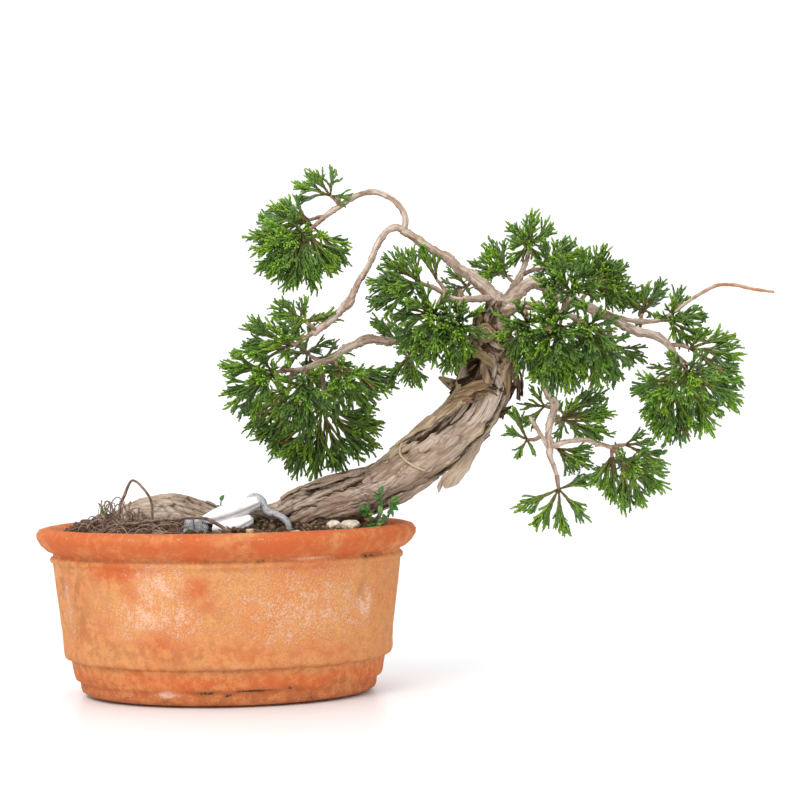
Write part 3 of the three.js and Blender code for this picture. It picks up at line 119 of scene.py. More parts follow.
# A spray stands on a twig that leads from its limb to its hub. From the hub it fans out towards
# [x, y, z, spread in degrees].
SPRAYS = {
    "a1": ([[69.5, 3, 279.5], [66.5, 1, 283], [63.5, 0, 285.5]],
        [[53, -4, 299, 30], [65, 8, 301, 26], [43, 12, 294, 30], [74, -2, 284, 20]]),
    "a2": ([[59, 3, 272.5], [56, 5, 270.5], [53, 7, 268.5]],
        [[29, 12, 281, 30], [72, 8, 246, 34], [37, 6, 283, 26]]),
    "a3": ([[59.5, 3, 273], [54, -1, 268], [49.5, -4, 264.5]],
        [[15, -10, 261, 36], [21, -16, 243, 36], [36, -8, 230, 36], [54, 0, 230, 34], [67, 2, 241, 30],
        [41, -42, 254, 42]]),
    "a4": ([[60, 3, 273.5], [56, 10, 274], [50.5, 15, 273]],
        [[21, 34, 269, 36], [43, 38, 248, 40], [36, 32, 283, 32]]),
    "b1": ([[55, -22, 206.5], [52.5, -25, 209.5], [49.5, -27, 211.5]],
        [[47, -26, 224, 28], [31, -30, 221, 30], [66, -14, 216, 22], [40, 4, 217, 34]]),
    "b2": ([[53, -22, 205.5], [47, -26, 201.5], [41.5, -28, 198]],
        [[14, -26, 211, 32], [11, -32, 195, 26], [37, -58, 204, 40]]),
    "b3": ([[41.5, -14, 185], [36, -17, 184.5], [32.5, -19, 184]],
        [[1, -18, 189, 20], [4, -24, 164, 34], [25, -52, 178, 36]]),
    "b4": ([[48, -12, 186], [47, -18, 180]], [[36, -30, 152, 34], [53, -24, 148, 28], [47, -56, 167, 40]]),
    "b5": ([[64, -7, 191.5], [66.5, -9, 186.5]], [[64, -16, 156, 30], [86, -10, 161, 32],
        [99, -2, 175, 26], [75, -44, 175, 38]]),
    "b6": ([[56.5, -9, 189], [58, 2, 176], [56.5, 8, 163]], [[35, 0, 127, 32], [50, 4, 121, 28],
        [69, 6, 124, 30], [85, 4, 135, 30], [92, 10, 153, 24], [18, 8, 144, 22]]),
    "b7": ([[41, -14, 184.5], [38.5, -2, 177], [36.5, 4, 170]],
        [[12, 12, 150, 30], [27, 10, 135, 28], [18, 34, 171, 34]]),
    "b8": ([[56.5, -9, 189], [52.5, 2, 192], [50, 10, 193.5]],
        [[40, 44, 203, 42], [68, 40, 183, 40], [47, 40, 167, 40]]),
    "c1": ([[122, -17, 230.5], [117.5, -20, 232], [114.5, -22, 233]],
        [[94, -20, 249, 28], [84, -24, 234, 26], [86, -26, 219, 26], [109, -16, 253, 18],
        [102, -50, 230, 34]]),
    "c2": ([[129.5, -13, 226], [127, -10, 232], [124, -8, 235.5]],
        [[115, -10, 253, 15], [123, -6, 249, 15]]),
    "c3": ([[128, -15, 227], [124.5, -20, 221], [122.5, -24, 216]],
        [[98, -28, 212, 34], [101, -30, 194, 32], [113, -34, 186, 30], [119, -62, 211, 42],
        [128, -50, 194, 34], [106, -38, 225, 30]]),
    "c4": ([[137, -10, 224], [135.5, -17, 217], [134.5, -22, 211.5]],
        [[127, -24, 181, 32], [139, -26, 187, 28], [138, -31, 200, 22], [134, -58, 202, 42],
        [137, -44, 218, 28], [124, -44, 201, 30]]),
    "c5": ([[114, 7, 203.5], [111, 6, 198], [108, 5, 193.5]],
        [[96, -2, 176, 26], [112, 2, 175, 20], [87, 6, 215, 22], [107, 32, 188, 36]]),
    "c6": ([[145.5, -2, 236], [142, 6, 232.5]], [[132, 14, 242, 24], [133, 34, 231, 32]]),
    "d1": ([[171, 16, 233], [165.5, 20, 239]], [[144, 20, 247, 30], [157, 22, 260, 26],
        [153, 50, 247, 34], [155, -8, 245, 30]]),
    "d2": ([[178, 27, 248], [179.5, 29, 253.5], [180.5, 30, 257]],
        [[182, 28, 277, 22], [168, 26, 268, 26], [194, 30, 269, 28], [181, 62, 265, 36],
        [174, 0, 263, 30], [169, 40, 248, 32], [187, 40, 248, 32]]),
    "d3": ([[175, 22, 239.5], [182, 24, 242.5], [188.5, 24, 243]],
        [[202, 22, 259, 28], [214, 26, 253, 30], [201, 58, 249, 38], [190, -8, 246, 34]]),
    "e1": ([[206, 7, 221.5], [211, 8, 227], [214, 8, 232]], [[222, 8, 253, 28], [235, 8, 242, 32],
        [207, 2, 251, 28], [224, 44, 241, 36], [219, -26, 240, 36], [227, -14, 222, 30],
        [243, 16, 223, 28]]),
    "e2": ([[172.5, -13, 219.5], [174.5, -18, 215], [175, -22, 211.5]],
        [[167, -34, 206, 24], [167, -26, 185, 28], [178, -26, 175, 30], [170, -58, 201, 40]]),
    "e3": ([[190, -24, 216], [190.5, -29, 211], [190, -33, 207]],
        [[188, -34, 168, 30], [189, -68, 192, 40], [201, -34, 170, 28], [185, -64, 218, 36],
        [174, -46, 190, 32]]),
    "e4": ([[199.5, -27, 212], [204, -30, 209], [207, -32, 207]],
        [[223, -36, 199, 30], [227, -28, 177, 30], [207, -66, 203, 42], [215, -26, 171, 28],
        [207, -54, 187, 32]]),
    "e5": ([[194, -26, 214], [196.5, -24, 219.5], [198.5, -20, 225.5]],
        [[193, -34, 243, 30], [217, -28, 235, 32], [200, -56, 229, 36], [183, -40, 233, 26]]),
    "e6": ([[221, 4, 214.5], [224.5, 8, 205.5], [226, 10, 197.5]],
        [[245, 14, 187, 28], [227, 14, 174, 30], [228, 46, 195, 40]]),
    "e7": ([[199, 7, 224], [197.5, 18, 216], [197, 26, 208]],
        [[197, 60, 209, 42], [191, 34, 181, 36], [218, 50, 198, 38], [177, 30, 192, 34]]),
    "f1": ([[241.5, 1.5, 210], [243, 4, 214.5]], [[247, 4, 230, 24], [256, 0, 234, 20],
        [237, 10, 229, 24], [249, 36, 225, 34]]),
    "f2": ([[253.5, -2, 211], [258, 4, 210.5]], [[267, 8, 228, 18], [281, 6, 213, 20], [279, 4, 200, 24],
        [262, -28, 211, 34], [269, -6, 196, 28]]),
    "g1": ([[256.5, -8, 196], [263, -9, 196], [268, -11, 194]],
        [[294, -8, 202, 20], [299, -12, 189, 24], [298, -10, 172, 26], [279, -2, 203, 22]]),
    "g2": ([[260.5, -9, 189.5], [264, -15, 183]], [[295, -14, 158, 28], [280, -16, 143, 28],
        [265, -52, 174, 40]]),
    "g3": ([[260, -9, 191], [258.5, -11, 184], [257.5, -12, 179]],
        [[265, -14, 139, 26], [253, -15, 139, 24], [241, -16, 151, 26], [234, -14, 168, 26],
        [245, -44, 167, 36]]),
    "g4": ([[260.5, -9, 190], [265, 0, 187.5], [269, 8, 185.5]],
        [[291, 36, 178, 38], [273, 36, 159, 38], [254, 32, 173, 34]]),
    "h1": ([[189.5, -12, 161], [185, -5, 162]], [[173, -2, 163, 28], [178, 0, 173, 24], [173, 0, 151, 22]]),
    "h2": ([[188, -12, 154], [194, -7, 154.5]], [[219, -4, 170, 16], [223, -10, 158, 22],
        [223, -6, 145, 24], [203, -12, 165, 20], [209, 34, 158, 34]]),
    "h3": ([[187.5, -10, 140.5], [192, -3, 137.5]], [[211, -2, 135, 22], [211, -4, 127, 24],
        [202, 0, 125, 20]]),
    "h4": ([[191, -10, 122.5], [191.5, -10, 118], [192, -10, 114.5]],
        [[167, -12, 103, 13], [179, -10, 93, 13], [193, -10, 89, 15], [207, -8, 98, 18],
        [211, -4, 120, 14]]),
    "h5": ([[182, -12, 145], [178.5, -9, 143], [174.5, -7, 143]],
        [[166, -12, 160, 11], [163, -14, 149, 11], [168, -14, 134, 15], [178, -10, 136, 13]]),
    "i1": ([[222.5, -14, 138], [226.5, -15, 139], [230, -16, 139.5]],
        [[239, -12, 146, 22], [245, -20, 140, 18], [254, -12, 127, 24]]),
    "i2": ([[223, -14, 137.5], [226, -16, 135], [229, -17, 132]],
        [[252, -18, 115, 28], [241, -18, 104, 28], [228, -16, 101, 24], [234, -46, 126, 36]]),
    "i3": ([[222.5, -14, 137.5], [222.5, -11, 132.5]], [[223, -6, 107, 22], [216, -8, 114, 18],
        [210, -14, 118, 12], [235, 20, 124, 36]]),
}
PLUME_SPACING = 3.1  # mm of a fan's breadth for each of its plumes
MOST_PLUMES = 12
SHOOT_SPACING = 1.9  # along a plume
SHOOT_ANGLE = (0.24, 0.50)  # radians between a shoot and its plume
SHOOT_RADIUS = 0.74
SHOOTLET_SPACING = 2.5
FIRST_SHOOT = 0.45  # share of a plume below its first shoot
FIRST_SHOOTLET = 0.25
LEAST_WITH_SHOOTLETS = 4.2  # mm of a shoot's length
DRY_SHARE = 0.008  # of the shoots
CORD_SIDES = 4

# How light each pad is, by the first letter of its sprays, where it isn't 1
PAD_LIGHT = {"a": 1.22, "d": 1.25, "f": 1.12, "g": 1.22, "h": 1.15, "i": 1.1}

# Lying on the soil and standing in it
DEADWOOD_UPPER = [[-11, -19, 100.5, 2.0], [-5, -19, 101.5, 4.2], [4, -19, 104, 5.4],
    [13.5, -18.5, 107.5, 5.2], [20.5, -18, 110, 3.2]]
DEADWOOD_LOWER = [[-5, -21, 95, 3], [2, -22, 95.5, 5.0], [9, -22, 97, 5], [16.5, -21, 100.5, 3]]
WIRE_RADIUS = 2.2  # of the coil
WIRE_ROUTE = [[38.5, -26, 92.5, 1.5], [38, -26, 96.5, 1.6], [36.3, -26, 100, 1.8], [31.5, -24, 103, 1.9],
    [26.5, -20, 104.3, 2.1], [24, -16, 107, 2.2], [22, -14, 111, 2.2], [18, -12.5, 112.9, 2.2],
    [12.5, -11.5, 109.5, 2.2], [0, -11, 102, 2.2], [-8, -12, 98.5, 2.2]]
WIRE_COIL = {"x": -10, "y": -25, "z": 96.8, "radius": 4.2, "turns": 2.2, "pitch": 4.8, "steps": 36}
ROOTS = {
    "root_arched": [[-59, -16, 96, 0.8], [-59, -16, 103, 0.9], [-58, -17, 110, 0.9], [-55.5, -18, 115, 0.9],
        [-53.5, -18, 120, 0.8], [-51, -19, 123.5, 0.7], [-48, -20, 122.5, 0.7], [-44.5, -21, 119, 0.7],
        [-41.5, -21, 115, 0.7], [-40, -19, 110, 0.7], [-40, -17, 97, 0.6]],
    "root_long": [[-64, -30, 93, 0.9], [-60.5, -31, 98.5, 0.9], [-50, -32, 99.5, 0.8], [-39, -33, 101, 0.8],
        [-26, -34, 102, 0.8], [-17, -34, 102.5, 0.8], [-8, -33, 102, 0.9], [-1, -34, 98.5, 1],
        [7, -35, 93.5, 1]],
    "root_looped": [[-66, -36, 92.5, 0.7], [-65, -37, 98, 0.7], [-62.5, -38, 102, 0.6],
        [-59.5, -38, 103, 0.6], [-55.5, -38, 100, 0.6], [-53, -38, 93, 0.6]],
}
STONES = {
    "pebble_beige": ((-69, -28), (3.1, 2.8, 2.2)),
    "pebble_white_left": ((63.5, -19.5), (3.4, 2.8, 2.4)),
    "pebble_white_right": ((73, -20), (4.4, 3.2, 2.8)),
    "pebble_flat": ((43, -40), (3.6, 2.6, 1.5)),
    "pebble_yellow": ((17, -38), (2.6, 2.2, 1.8)),
    "bark_chunk": ((-68, -8), (10, 6, 7)),
    "bark_shard": ((3, 24), (6, 3, 1.8)),
}
WHITE_PEBBLE_STRETCH = 1.45
# A weed's stems run [x, y] up from the soil to a tip, and each leaf is [x, y, z, length, lean in degrees].
WEEDS = {
    "weed_right": (
        [[[87, -27], [90, -29, 114]], [[91, -29], [96.5, -28, 110]], [[85.5, -26], [82, -27, 106]]],
        [[90, -29, 114, 7, 80], [90, -29, 112, 6.5, 170], [96.5, -28, 109.5, 6.5, 40],
            [96, -28, 107, 6.5, -20], [82, -27, 105.5, 6, 150], [89, -28.4, 107.5, 6, -60]]),
    "weed_middle": ([[[-6, 24], [-4.5, 24, 109]]], [[-4.5, 24, 109, 5.5, 70], [-5.2, 24, 106, 5.5, 200]]),
    "weed_left": ([[[-67, -20], [-67, -21, 105.5]]], [[-67, -21, 105.5, 4.5, 130],
        [-67, -21, 105, 4.5, 40]]),
}


# Numbers that look random but are the same each time

def lattice(x, y, z, seed):
    """A value from 0 to 1 for each whole-numbered place."""
    h = x.astype(np.uint32) * np.uint32(0x8DA6B343)
    h ^= y.astype(np.uint32) * np.uint32(0xD8163841)
    h ^= z.astype(np.uint32) * np.uint32(0xCB1AB31F)
    h ^= np.uint32((seed * 0x9E3779B1) & 0xFFFFFFFF)
    for shift, factor in ((15, 0x2C1B3C6D), (12, 0x297A2D39), (15, 1)):
        h ^= h >> np.uint32(shift)
        h *= np.uint32(factor)
    return h / 2.0**32


def noise(p, seed=0):
    """Smooth noise from -1 to 1 at points (..., 3), with features about one unit across."""
    base = np.floor(p).astype(np.int64)
    f = p - base
    f = f * f * (3 - 2 * f)
    total = np.zeros(p.shape[:-1])
    for i in (0, 1):
        for j in (0, 1):
            for k in (0, 1):
                weight = np.abs(1 - i - f[..., 0]) * np.abs(1 - j - f[..., 1]) * np.abs(1 - k - f[..., 2])
                total += weight * lattice(base[..., 0] + i, base[..., 1] + j, base[..., 2] + k, seed)
    return 2 * total - 1


def fractal(p, octaves, seed=0):
    total = np.zeros(p.shape[:-1])
    for i in range(octaves):
        total += noise(p * 2**i, seed + 17 * i) / 2**i
    return total / (2 - 2 ** (1 - octaves))


def cells(p, seed=0):
    """Of points scattered one to a unit cube: distances to the nearest two, and the nearest's own number."""
    base = np.floor(p).astype(np.int64)
    first = np.full(p.shape[:-1], 9.0)
    second = first.copy()
    number = np.zeros(p.shape[:-1])
    for i in (-1, 0, 1):
        for j in (-1, 0, 1):
            for k in (-1, 0, 1):
                x, y, z = base[..., 0] + i, base[..., 1] + j, base[..., 2] + k
                at = np.stack([near + lattice(x, y, z, seed + n) for n, near in enumerate((x, y, z))], -1)
                distance = np.linalg.norm(p - at, axis=-1)
                closer = distance < first
                second = np.where(closer, first, np.minimum(second, distance))
                number = np.where(closer, lattice(x, y, z, seed + 3), number)
                first = np.where(closer, distance, first)
    return first, second, number


def step_between(low, high, value):
    t = np.clip((value - low) / (high - low), 0, 1)
    return t * t * (3 - 2 * t)


def blend_rgb(a, b, share):
    return np.asarray(a) + (np.asarray(b) - np.asarray(a)) * np.asarray(share)[..., None]


def seam(near, next_near, width):
    """1 on the line between two cells, falling to 0 over a width."""
    return 1 - step_between(0.0, width, next_near - near)


def half_turn(angle):
    """The same angle, between minus half a turn and half a turn."""
    return (angle + math.pi) % (2 * math.pi) - math.pi


def grain_place(angle, along, radius):
    """A tube's surface laid out straight, so that what is drawn on it runs with the grain."""
    return np.stack([radius * np.cos(angle), radius * np.sin(angle), along], -1)


# Lines and frames

def unit(v):
    return v / np.maximum(np.linalg.norm(v, axis=-1, keepdims=True), 1e-12)


def spline(stations, spacing):
    """Even samples of the smooth curve through stations [x, y, z, ...]. Further columns run straight."""
    stations = np.asarray(stations, float)
    p = stations[:, :3]
    p = np.vstack([2 * p[0] - p[1], p, 2 * p[-1] - p[-2]])
    dense, extra = [], []
    for i in range(1, len(p) - 2):
        d = [max(np.linalg.norm(p[i + j] - p[i + j - 1]) ** 0.5, 1e-4) for j in (0, 1, 2)]
        a, b, c, e = p[i - 1 : i + 3]
        start = ((b - a) / d[0] - (c - a) / (d[0] + d[1]) + (c - b) / d[1]) * d[1]
        end = ((c - b) / d[1] - (e - b) / (d[1] + d[2]) + (e - c) / d[2]) * d[1]
        t = np.linspace(0, 1, 25)[:, None]
        if i < len(p) - 3:
            t = t[:-1]
        dense.append(
            b + start * t + (3 * (c - b) - 2 * start - end) * t**2 + (2 * (b - c) + start + end) * t**3)
        extra.append(stations[i - 1, 3:] + (stations[i, 3:] - stations[i - 1, 3:]) * t)
    dense, extra = np.vstack(dense), np.vstack(extra)
    run = np.concatenate([[0], np.cumsum(np.linalg.norm(np.diff(dense, axis=0), axis=1))])
    even = np.linspace(0, run[-1], max(3, int(round(run[-1] / spacing)) + 1))
    columns = [np.interp(even, run, column) for column in np.hstack([dense, extra]).T]
    return np.stack(columns, 1), even


def curve(start, control, end, t):
    """Points and directions on the curves that leave start towards control and arrive at end."""
    points = start * (1 - t) ** 2 + 2 * control * t * (1 - t) + end * t**2
    return points, unit(2 * (control - start) * (1 - t) + 2 * (end - control) * t)


def frames(points):
    """Two directions across a line at each of its points, turned as little as can be along it."""
    tangents = unit(np.gradient(points, axis=0))
    upright = np.array([0, 1, 0]) if abs(tangents[0, 2]) > 0.9 else np.array([0, 0, 1])
    first = np.zeros_like(points)
    last = upright.astype(float)
    for i, tangent in enumerate(tangents):
        last = unit(last - tangent * (last @ tangent))
        first[i] = last
    return tangents, first, np.cross(tangents, first)


# Meshes

class Parts:
    """Gathers the vertices and faces of one piece, with a tint and a place in the grain for each vertex."""

    def __init__(self):
        self.points, self.quads, self.triangles, self.tints, self.grain = [], [], [], [], []
        self.count = 0

    def add(self, points, quads=(), triangles=(), tint=(0.5, 0.5, 0.5), grain=None):
        points = np.asarray(points, float).reshape(-1, 3)
        self.points.append(points)
        for faces, kept in ((quads, self.quads), (triangles, self.triangles)):
            if len(faces):
                kept.append(np.asarray(faces, np.int64) + self.count)
        self.tints.append(np.broadcast_to(np.asarray(tint, float).reshape(-1, 3), points.shape))
        self.grain.append(points if grain is None else np.asarray(grain, float).reshape(-1, 3))
        self.count += len(points)


def make(name, parts, material, replaced=None):
    """One object out of gathered parts. It rides on the frame, in place of a CAD node where one is named."""
    points = np.vstack(parts.points) * MM
    loops, starts, at = [], [], 0
    for faces, corners in ((parts.quads, 4), (parts.triangles, 3)):
        if faces:
            faces = np.vstack(faces)
            loops.append(faces.ravel())
            starts.append(at + corners * np.arange(len(faces)))
            at += faces.size
    loops, starts = np.concatenate(loops), np.concatenate(starts)
    mesh = bpy.data.meshes.new(name)
    mesh.vertices.add(len(points))
    mesh.vertices.foreach_set("co", points.astype(np.float32).ravel())
    mesh.loops.add(len(loops))
    mesh.loops.foreach_set("vertex_index", loops.astype(np.int32))
    mesh.polygons.add(len(starts))
    mesh.polygons.foreach_set("loop_start", starts.astype(np.int32))
    tint = mesh.attributes.new("Tint", "FLOAT_COLOR", "POINT")
    rgba = np.hstack([np.clip(np.vstack(parts.tints), 0, 1), np.ones((len(points), 1))])
    tint.data.foreach_set("color", rgba.astype(np.float32).ravel())
    grain = mesh.attributes.new("Grain", "FLOAT_VECTOR", "POINT")
    grain.data.foreach_set("vector", np.vstack(parts.grain).astype(np.float32).ravel())
    mesh.update(calc_edges=True)
    mesh.validate()
    mesh.shade_smooth()
    mesh.materials.append(material)
    piece = bpy.data.objects.new(name, mesh)
    bpy.context.scene.collection.objects.link(piece)
    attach(piece, "root")
    if replaced:
        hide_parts(replaced)
    return piece


def grid_faces(rows, columns, closed=True):
    """Quads of a grid of vertices, row after row, whose columns close round or don't."""
    k = np.arange(columns if closed else columns - 1)
    i = np.arange(rows - 1)[:, None]
    a = i * columns + k
    b = i * columns + (k + 1) % columns
    return np.stack([a, b, b + columns, a + columns], -1).reshape(-1, 4)


def sweep(parts, stations, sides, spacing, relief=None, tint=(0.5, 0.5, 0.5)):
    """A closed tube. relief gives how far it stands out at each vertex, in mm, and its tints."""
    rows, along = spline(stations, spacing)
    centre, radius = rows[:, :3], rows[:, 3]
    tangents, first, second = frames(centre)
    angle = 2 * math.pi * np.arange(sides) / sides
    out = first[:, None] * np.cos(angle)[:, None] + second[:, None] * np.sin(angle)[:, None]
    across = np.broadcast_to(radius[:, None], (len(rows), sides))
    points = centre[:, None] + out * across[..., None]
    angles = np.broadcast_to(angle, (len(rows), sides))
    lengths = np.broadcast_to(along[:, None], (len(rows), sides))
    tints = np.broadcast_to(np.asarray(tint, float), (len(rows), sides, 3))
    if relief:
        proud, tints = relief(angles, lengths, across, points, out)
        points = points + out * proud[..., None]
    grain = grain_place(angles, lengths, across)
    ends = np.stack([centre[0] - tangents[0] * 0.3 * radius[0],
        centre[-1] + tangents[-1] * 0.5 * radius[-1]])
    count = len(rows) * sides
    quads = grid_faces(len(rows), sides)
    k = np.arange(sides)
    low = np.stack([np.full(sides, count), (k + 1) % sides, k], 1)
    top = np.stack([np.full(sides, count + 1), count - sides + k, count - sides + (k + 1) % sides], 1)
    parts.add(
        np.vstack([points.reshape(-1, 3), ends]), quads, np.vstack([low, top]),
        np.vstack([tints.reshape(-1, 3), tints[0, :1], tints[-1, :1]]),
        np.vstack([grain.reshape(-1, 3), [[0, 0, 0], [0, 0, along[-1]]]]))
    return points, out


# Materials

class Finish:
    """One procedural material, built node by node."""

    def __init__(self, name, **settings):
        self.material = bpy.data.materials.new(name)
        self.material.use_nodes = True
        self.nodes = self.material.node_tree.nodes
        self.shader = self.nodes["Principled BSDF"]
        for socket, value in settings.items():
            self.shader.inputs[socket.replace("_", " ")].default_value = value

    def node(self, kind, inputs=(), **settings):
        made = self.nodes.new("ShaderNode" + kind)
        for key, value in settings.items():
            setattr(made, key, value)
        for socket, value in dict(inputs).items():
            self.put(made.inputs[socket], value)
        return made

    def put(self, socket, value):
        if isinstance(value, bpy.types.NodeSocket):
            self.material.node_tree.links.new(value, socket)
        else:
            socket.default_value = value

    def attribute(self, name):
        made = self.node("Attribute", attribute_name=name)
        return made.outputs["Color"] if name == "Tint" else made.outputs["Vector"]

    def place(self, scale=(1, 1, 1), attribute=None):
        """Where the surface is: in metres, or along the grain in millimetres."""
        where = self.attribute(attribute) if attribute else self.node("TexCoord").outputs["Object"]
        return self.node("Mapping", {"Vector": where, "Scale": scale}).outputs["Vector"]

    def noise(self, where, scale, detail=4.0, roughness=0.6, distortion=0.0):
        values = {"Vector": where, "Scale": scale, "Detail": detail, "Roughness": roughness,
            "Distortion": distortion}
        return self.node("TexNoise", values).outputs["Fac"]

    def cells(self, where, scale, feature="F1", output="Distance"):
        return self.node("TexVoronoi", {"Vector": where, "Scale": scale}, feature=feature).outputs[output]

    def between(self, value, low, high, start=0.0, end=1.0):
        inputs = {"Value": value, "From Min": low, "From Max": high, "To Min": start, "To Max": end}
        return self.node("MapRange", inputs, interpolation_type="SMOOTHSTEP").outputs["Result"]

    def math(self, operation, *values):
        return self.node("Math", dict(enumerate(values)), operation=operation).outputs[0]

    def times(self, *values):
        return self.math("MULTIPLY", *values)

    def mix(self, share, a, b, blend="MIX"):
        inputs = {0: share, 6: a, 7: b}
        return self.node("Mix", inputs, data_type="RGBA", blend_type=blend).outputs[2]

    def parts_of(self, colour):
        return self.node("SeparateColor", {"Color": colour}).outputs

    def bump(self, height, distance, strength=1.0, normal=None):
        inputs = {"Height": height, "Distance": distance * MM, "Strength": strength}
        if normal is not None:
            inputs["Normal"] = normal
        return self.node("Bump", inputs).outputs["Normal"]

    def wear(self, **sockets):
        for socket, value in sockets.items():
            self.put(self.shader.inputs[socket.replace("_", " ")], value)
        return self.material


def rgb(r, g, b):
    return (r, g, b, 1.0)


CLAY_ORANGE = rgb(0.64, 0.235, 0.078)
CLAY_OCHRE = rgb(0.65, 0.30, 0.105)
CLAY_BROWN = rgb(0.47, 0.165, 0.058)
CLAY_SAND = rgb(0.70, 0.40, 0.21)
CLAY_RED = rgb(0.56, 0.115, 0.032)
CLAY_DAMP_AND_SHADE = rgb(0.36, 0.125, 0.048)
CLAY_BLOOM = rgb(0.78, 0.49, 0.34)
CLAY_SOOT_AND_SHADOW = rgb(0.07, 0.035, 0.02)


def terracotta():
    look = Finish("terracotta", Roughness=0.85, Specular_IOR_Level=0.2)
    where = look.place()
    stain_and_shade = look.parts_of(look.attribute("Tint"))
    sandy = look.between(look.noise(where, 1000, 3, 0.8), 0.32, 0.68)
    mottle = look.between(look.noise(where, 190, 5, 0.62), 0.33, 0.67)
    patches = look.between(look.noise(where, 48, 5, 0.65), 0.36, 0.64)

    def speckled(mask, low, high):
        """A mask that is broken up by sand and mottle instead of ending at a smooth edge."""
        broken = look.math("MULTIPLY_ADD", sandy, 0.45, look.times(mottle, 0.40))
        return look.between(look.math("ADD", mask, broken), low, high)

    base = look.mix(patches, CLAY_ORANGE, CLAY_OCHRE)
    base = look.mix(look.times(mottle, 0.5), base, CLAY_BROWN)
    base = look.mix(look.times(look.between(sandy, 0.4, 1.0), 0.55), base, CLAY_SAND)
    base = look.mix(look.times(look.between(sandy, 0.35, 0.0), 0.3), base, CLAY_BROWN)
    base = look.mix(look.times(speckled(stain_and_shade["Green"], 0.55, 1.35), 0.95), base, CLAY_RED)
    # The tint's blue darkens the clay: soot and dark patches, painted shadow lines under the rim's lip and
    # the ledges, and painted shade near the foot.
    base = look.mix(look.times(speckled(stain_and_shade["Blue"], 0.45, 1.25), 0.9), base, CLAY_DAMP_AND_SHADE)
    base = look.mix(look.times(speckled(stain_and_shade["Red"], 0.72, 1.38), 0.95), base, CLAY_BLOOM)
    base = look.mix(speckled(stain_and_shade["Blue"], 1.2, 1.36), base, CLAY_SOOT_AND_SHADOW)
    specks = look.between(look.noise(where, 640, 2, 0.5, 0.0), 0.62, 0.70)
    base = look.mix(look.times(specks, 0.45), base, CLAY_BROWN)
    pits = look.cells(where, 520)
    height = look.math("MULTIPLY_ADD", sandy, 0.5, look.between(pits, 0.0, 0.2))
    return look.wear(Base_Color=base, Normal=look.bump(height, 0.25, 0.6))


def bark_look():
    look = Finish("bark", Roughness=0.9, Specular_IOR_Level=0.15)
    fibres = look.noise(look.place((1, 1, 0.07), "Grain"), 1.5, 6, 0.75, 0.3)
    strands = look.noise(look.place((1, 1, 0.05), "Grain"), 0.5, 4, 0.65, 0.6)
    spots = look.noise(look.place(), 330, 5, 0.65)
    base = look.attribute("Tint")
    base = look.mix(look.between(fibres, 0.34, 0.62), look.mix(1.0, base, rgb(0.60, 0.52, 0.46),
        "MULTIPLY"), base)
    base = look.mix(look.between(strands, 0.50, 0.70, 0.0, 0.35), base, rgb(0.66, 0.53, 0.43))
    base = look.mix(look.between(spots, 0.60, 0.72, 0.0, 0.30), base, rgb(0.24, 0.14, 0.085))
    height = look.math("ADD", fibres, look.times(strands, 1.3))
    return look.wear(Base_Color=base, Normal=look.bump(height, 0.45, 0.7))


def foliage_look():
    look = Finish("foliage", Roughness=0.45, Specular_IOR_Level=0.3)
    scales = look.cells(look.place(), 800)
    base = look.attribute("Tint")
    base = look.mix(look.between(scales, 0.1, 0.6), base, look.mix(1.0, base, rgb(0.62, 0.70, 0.60),
        "MULTIPLY"))
    return look.wear(Base_Color=base, Normal=look.bump(scales, 0.2, 0.6))


def tinted_look(name, roughness, specular, scale, depth, dullest):
    """A plain matt surface: its tint, with finer and darker speckle."""
    look = Finish(name, Roughness=roughness, Specular_IOR_Level=specular)
    where = look.place()
    fine = look.noise(where, scale, 6, 0.7)
    base = look.attribute("Tint")
    dull = look.mix(1.0, base, rgb(dullest, 0.95 * dullest, 0.92 * dullest), "MULTIPLY")
    base = look.mix(look.between(fine, 0.35, 0.62), dull, base)
    return look.wear(Base_Color=base, Normal=look.bump(fine, depth, 0.8))


def wire_look():
    look = Finish("wire", Metallic=0.35, Specular_IOR_Level=0.4)
    grain = look.place((1, 1, 0.2), "Grain")
    drawn = look.noise(grain, 2.2, 5, 0.65)
    spots = look.noise(look.place(), 420, 4, 0.6)
    base = look.mix(look.between(drawn, 0.3, 0.7), rgb(0.36, 0.36, 0.38), rgb(0.60, 0.61, 0.64))
    base = look.mix(look.between(spots, 0.56, 0.7), base, rgb(0.25, 0.24, 0.25))
    base = look.mix(1.0, base, look.attribute("Tint"), "MULTIPLY")
    rough = look.between(spots, 0.4, 0.7, 0.55, 0.8)
    return look.wear(Base_Color=base, Roughness=rough, Normal=look.bump(drawn, 0.15, 0.5))


# Pot

def wall_points(outline, longest):
    """The outline's points, with more of them along its long stretches."""
    points = [outline[0]]
    for a, b in zip(outline, outline[1:]):
        pieces = max(1, math.ceil(math.dist(a, b) / longest))
        points += [(a[0] + (b[0] - a[0]) * k / pieces,
            a[1] + (b[1] - a[1]) * k / pieces) for k in range(1, pieces + 1)]
    return points


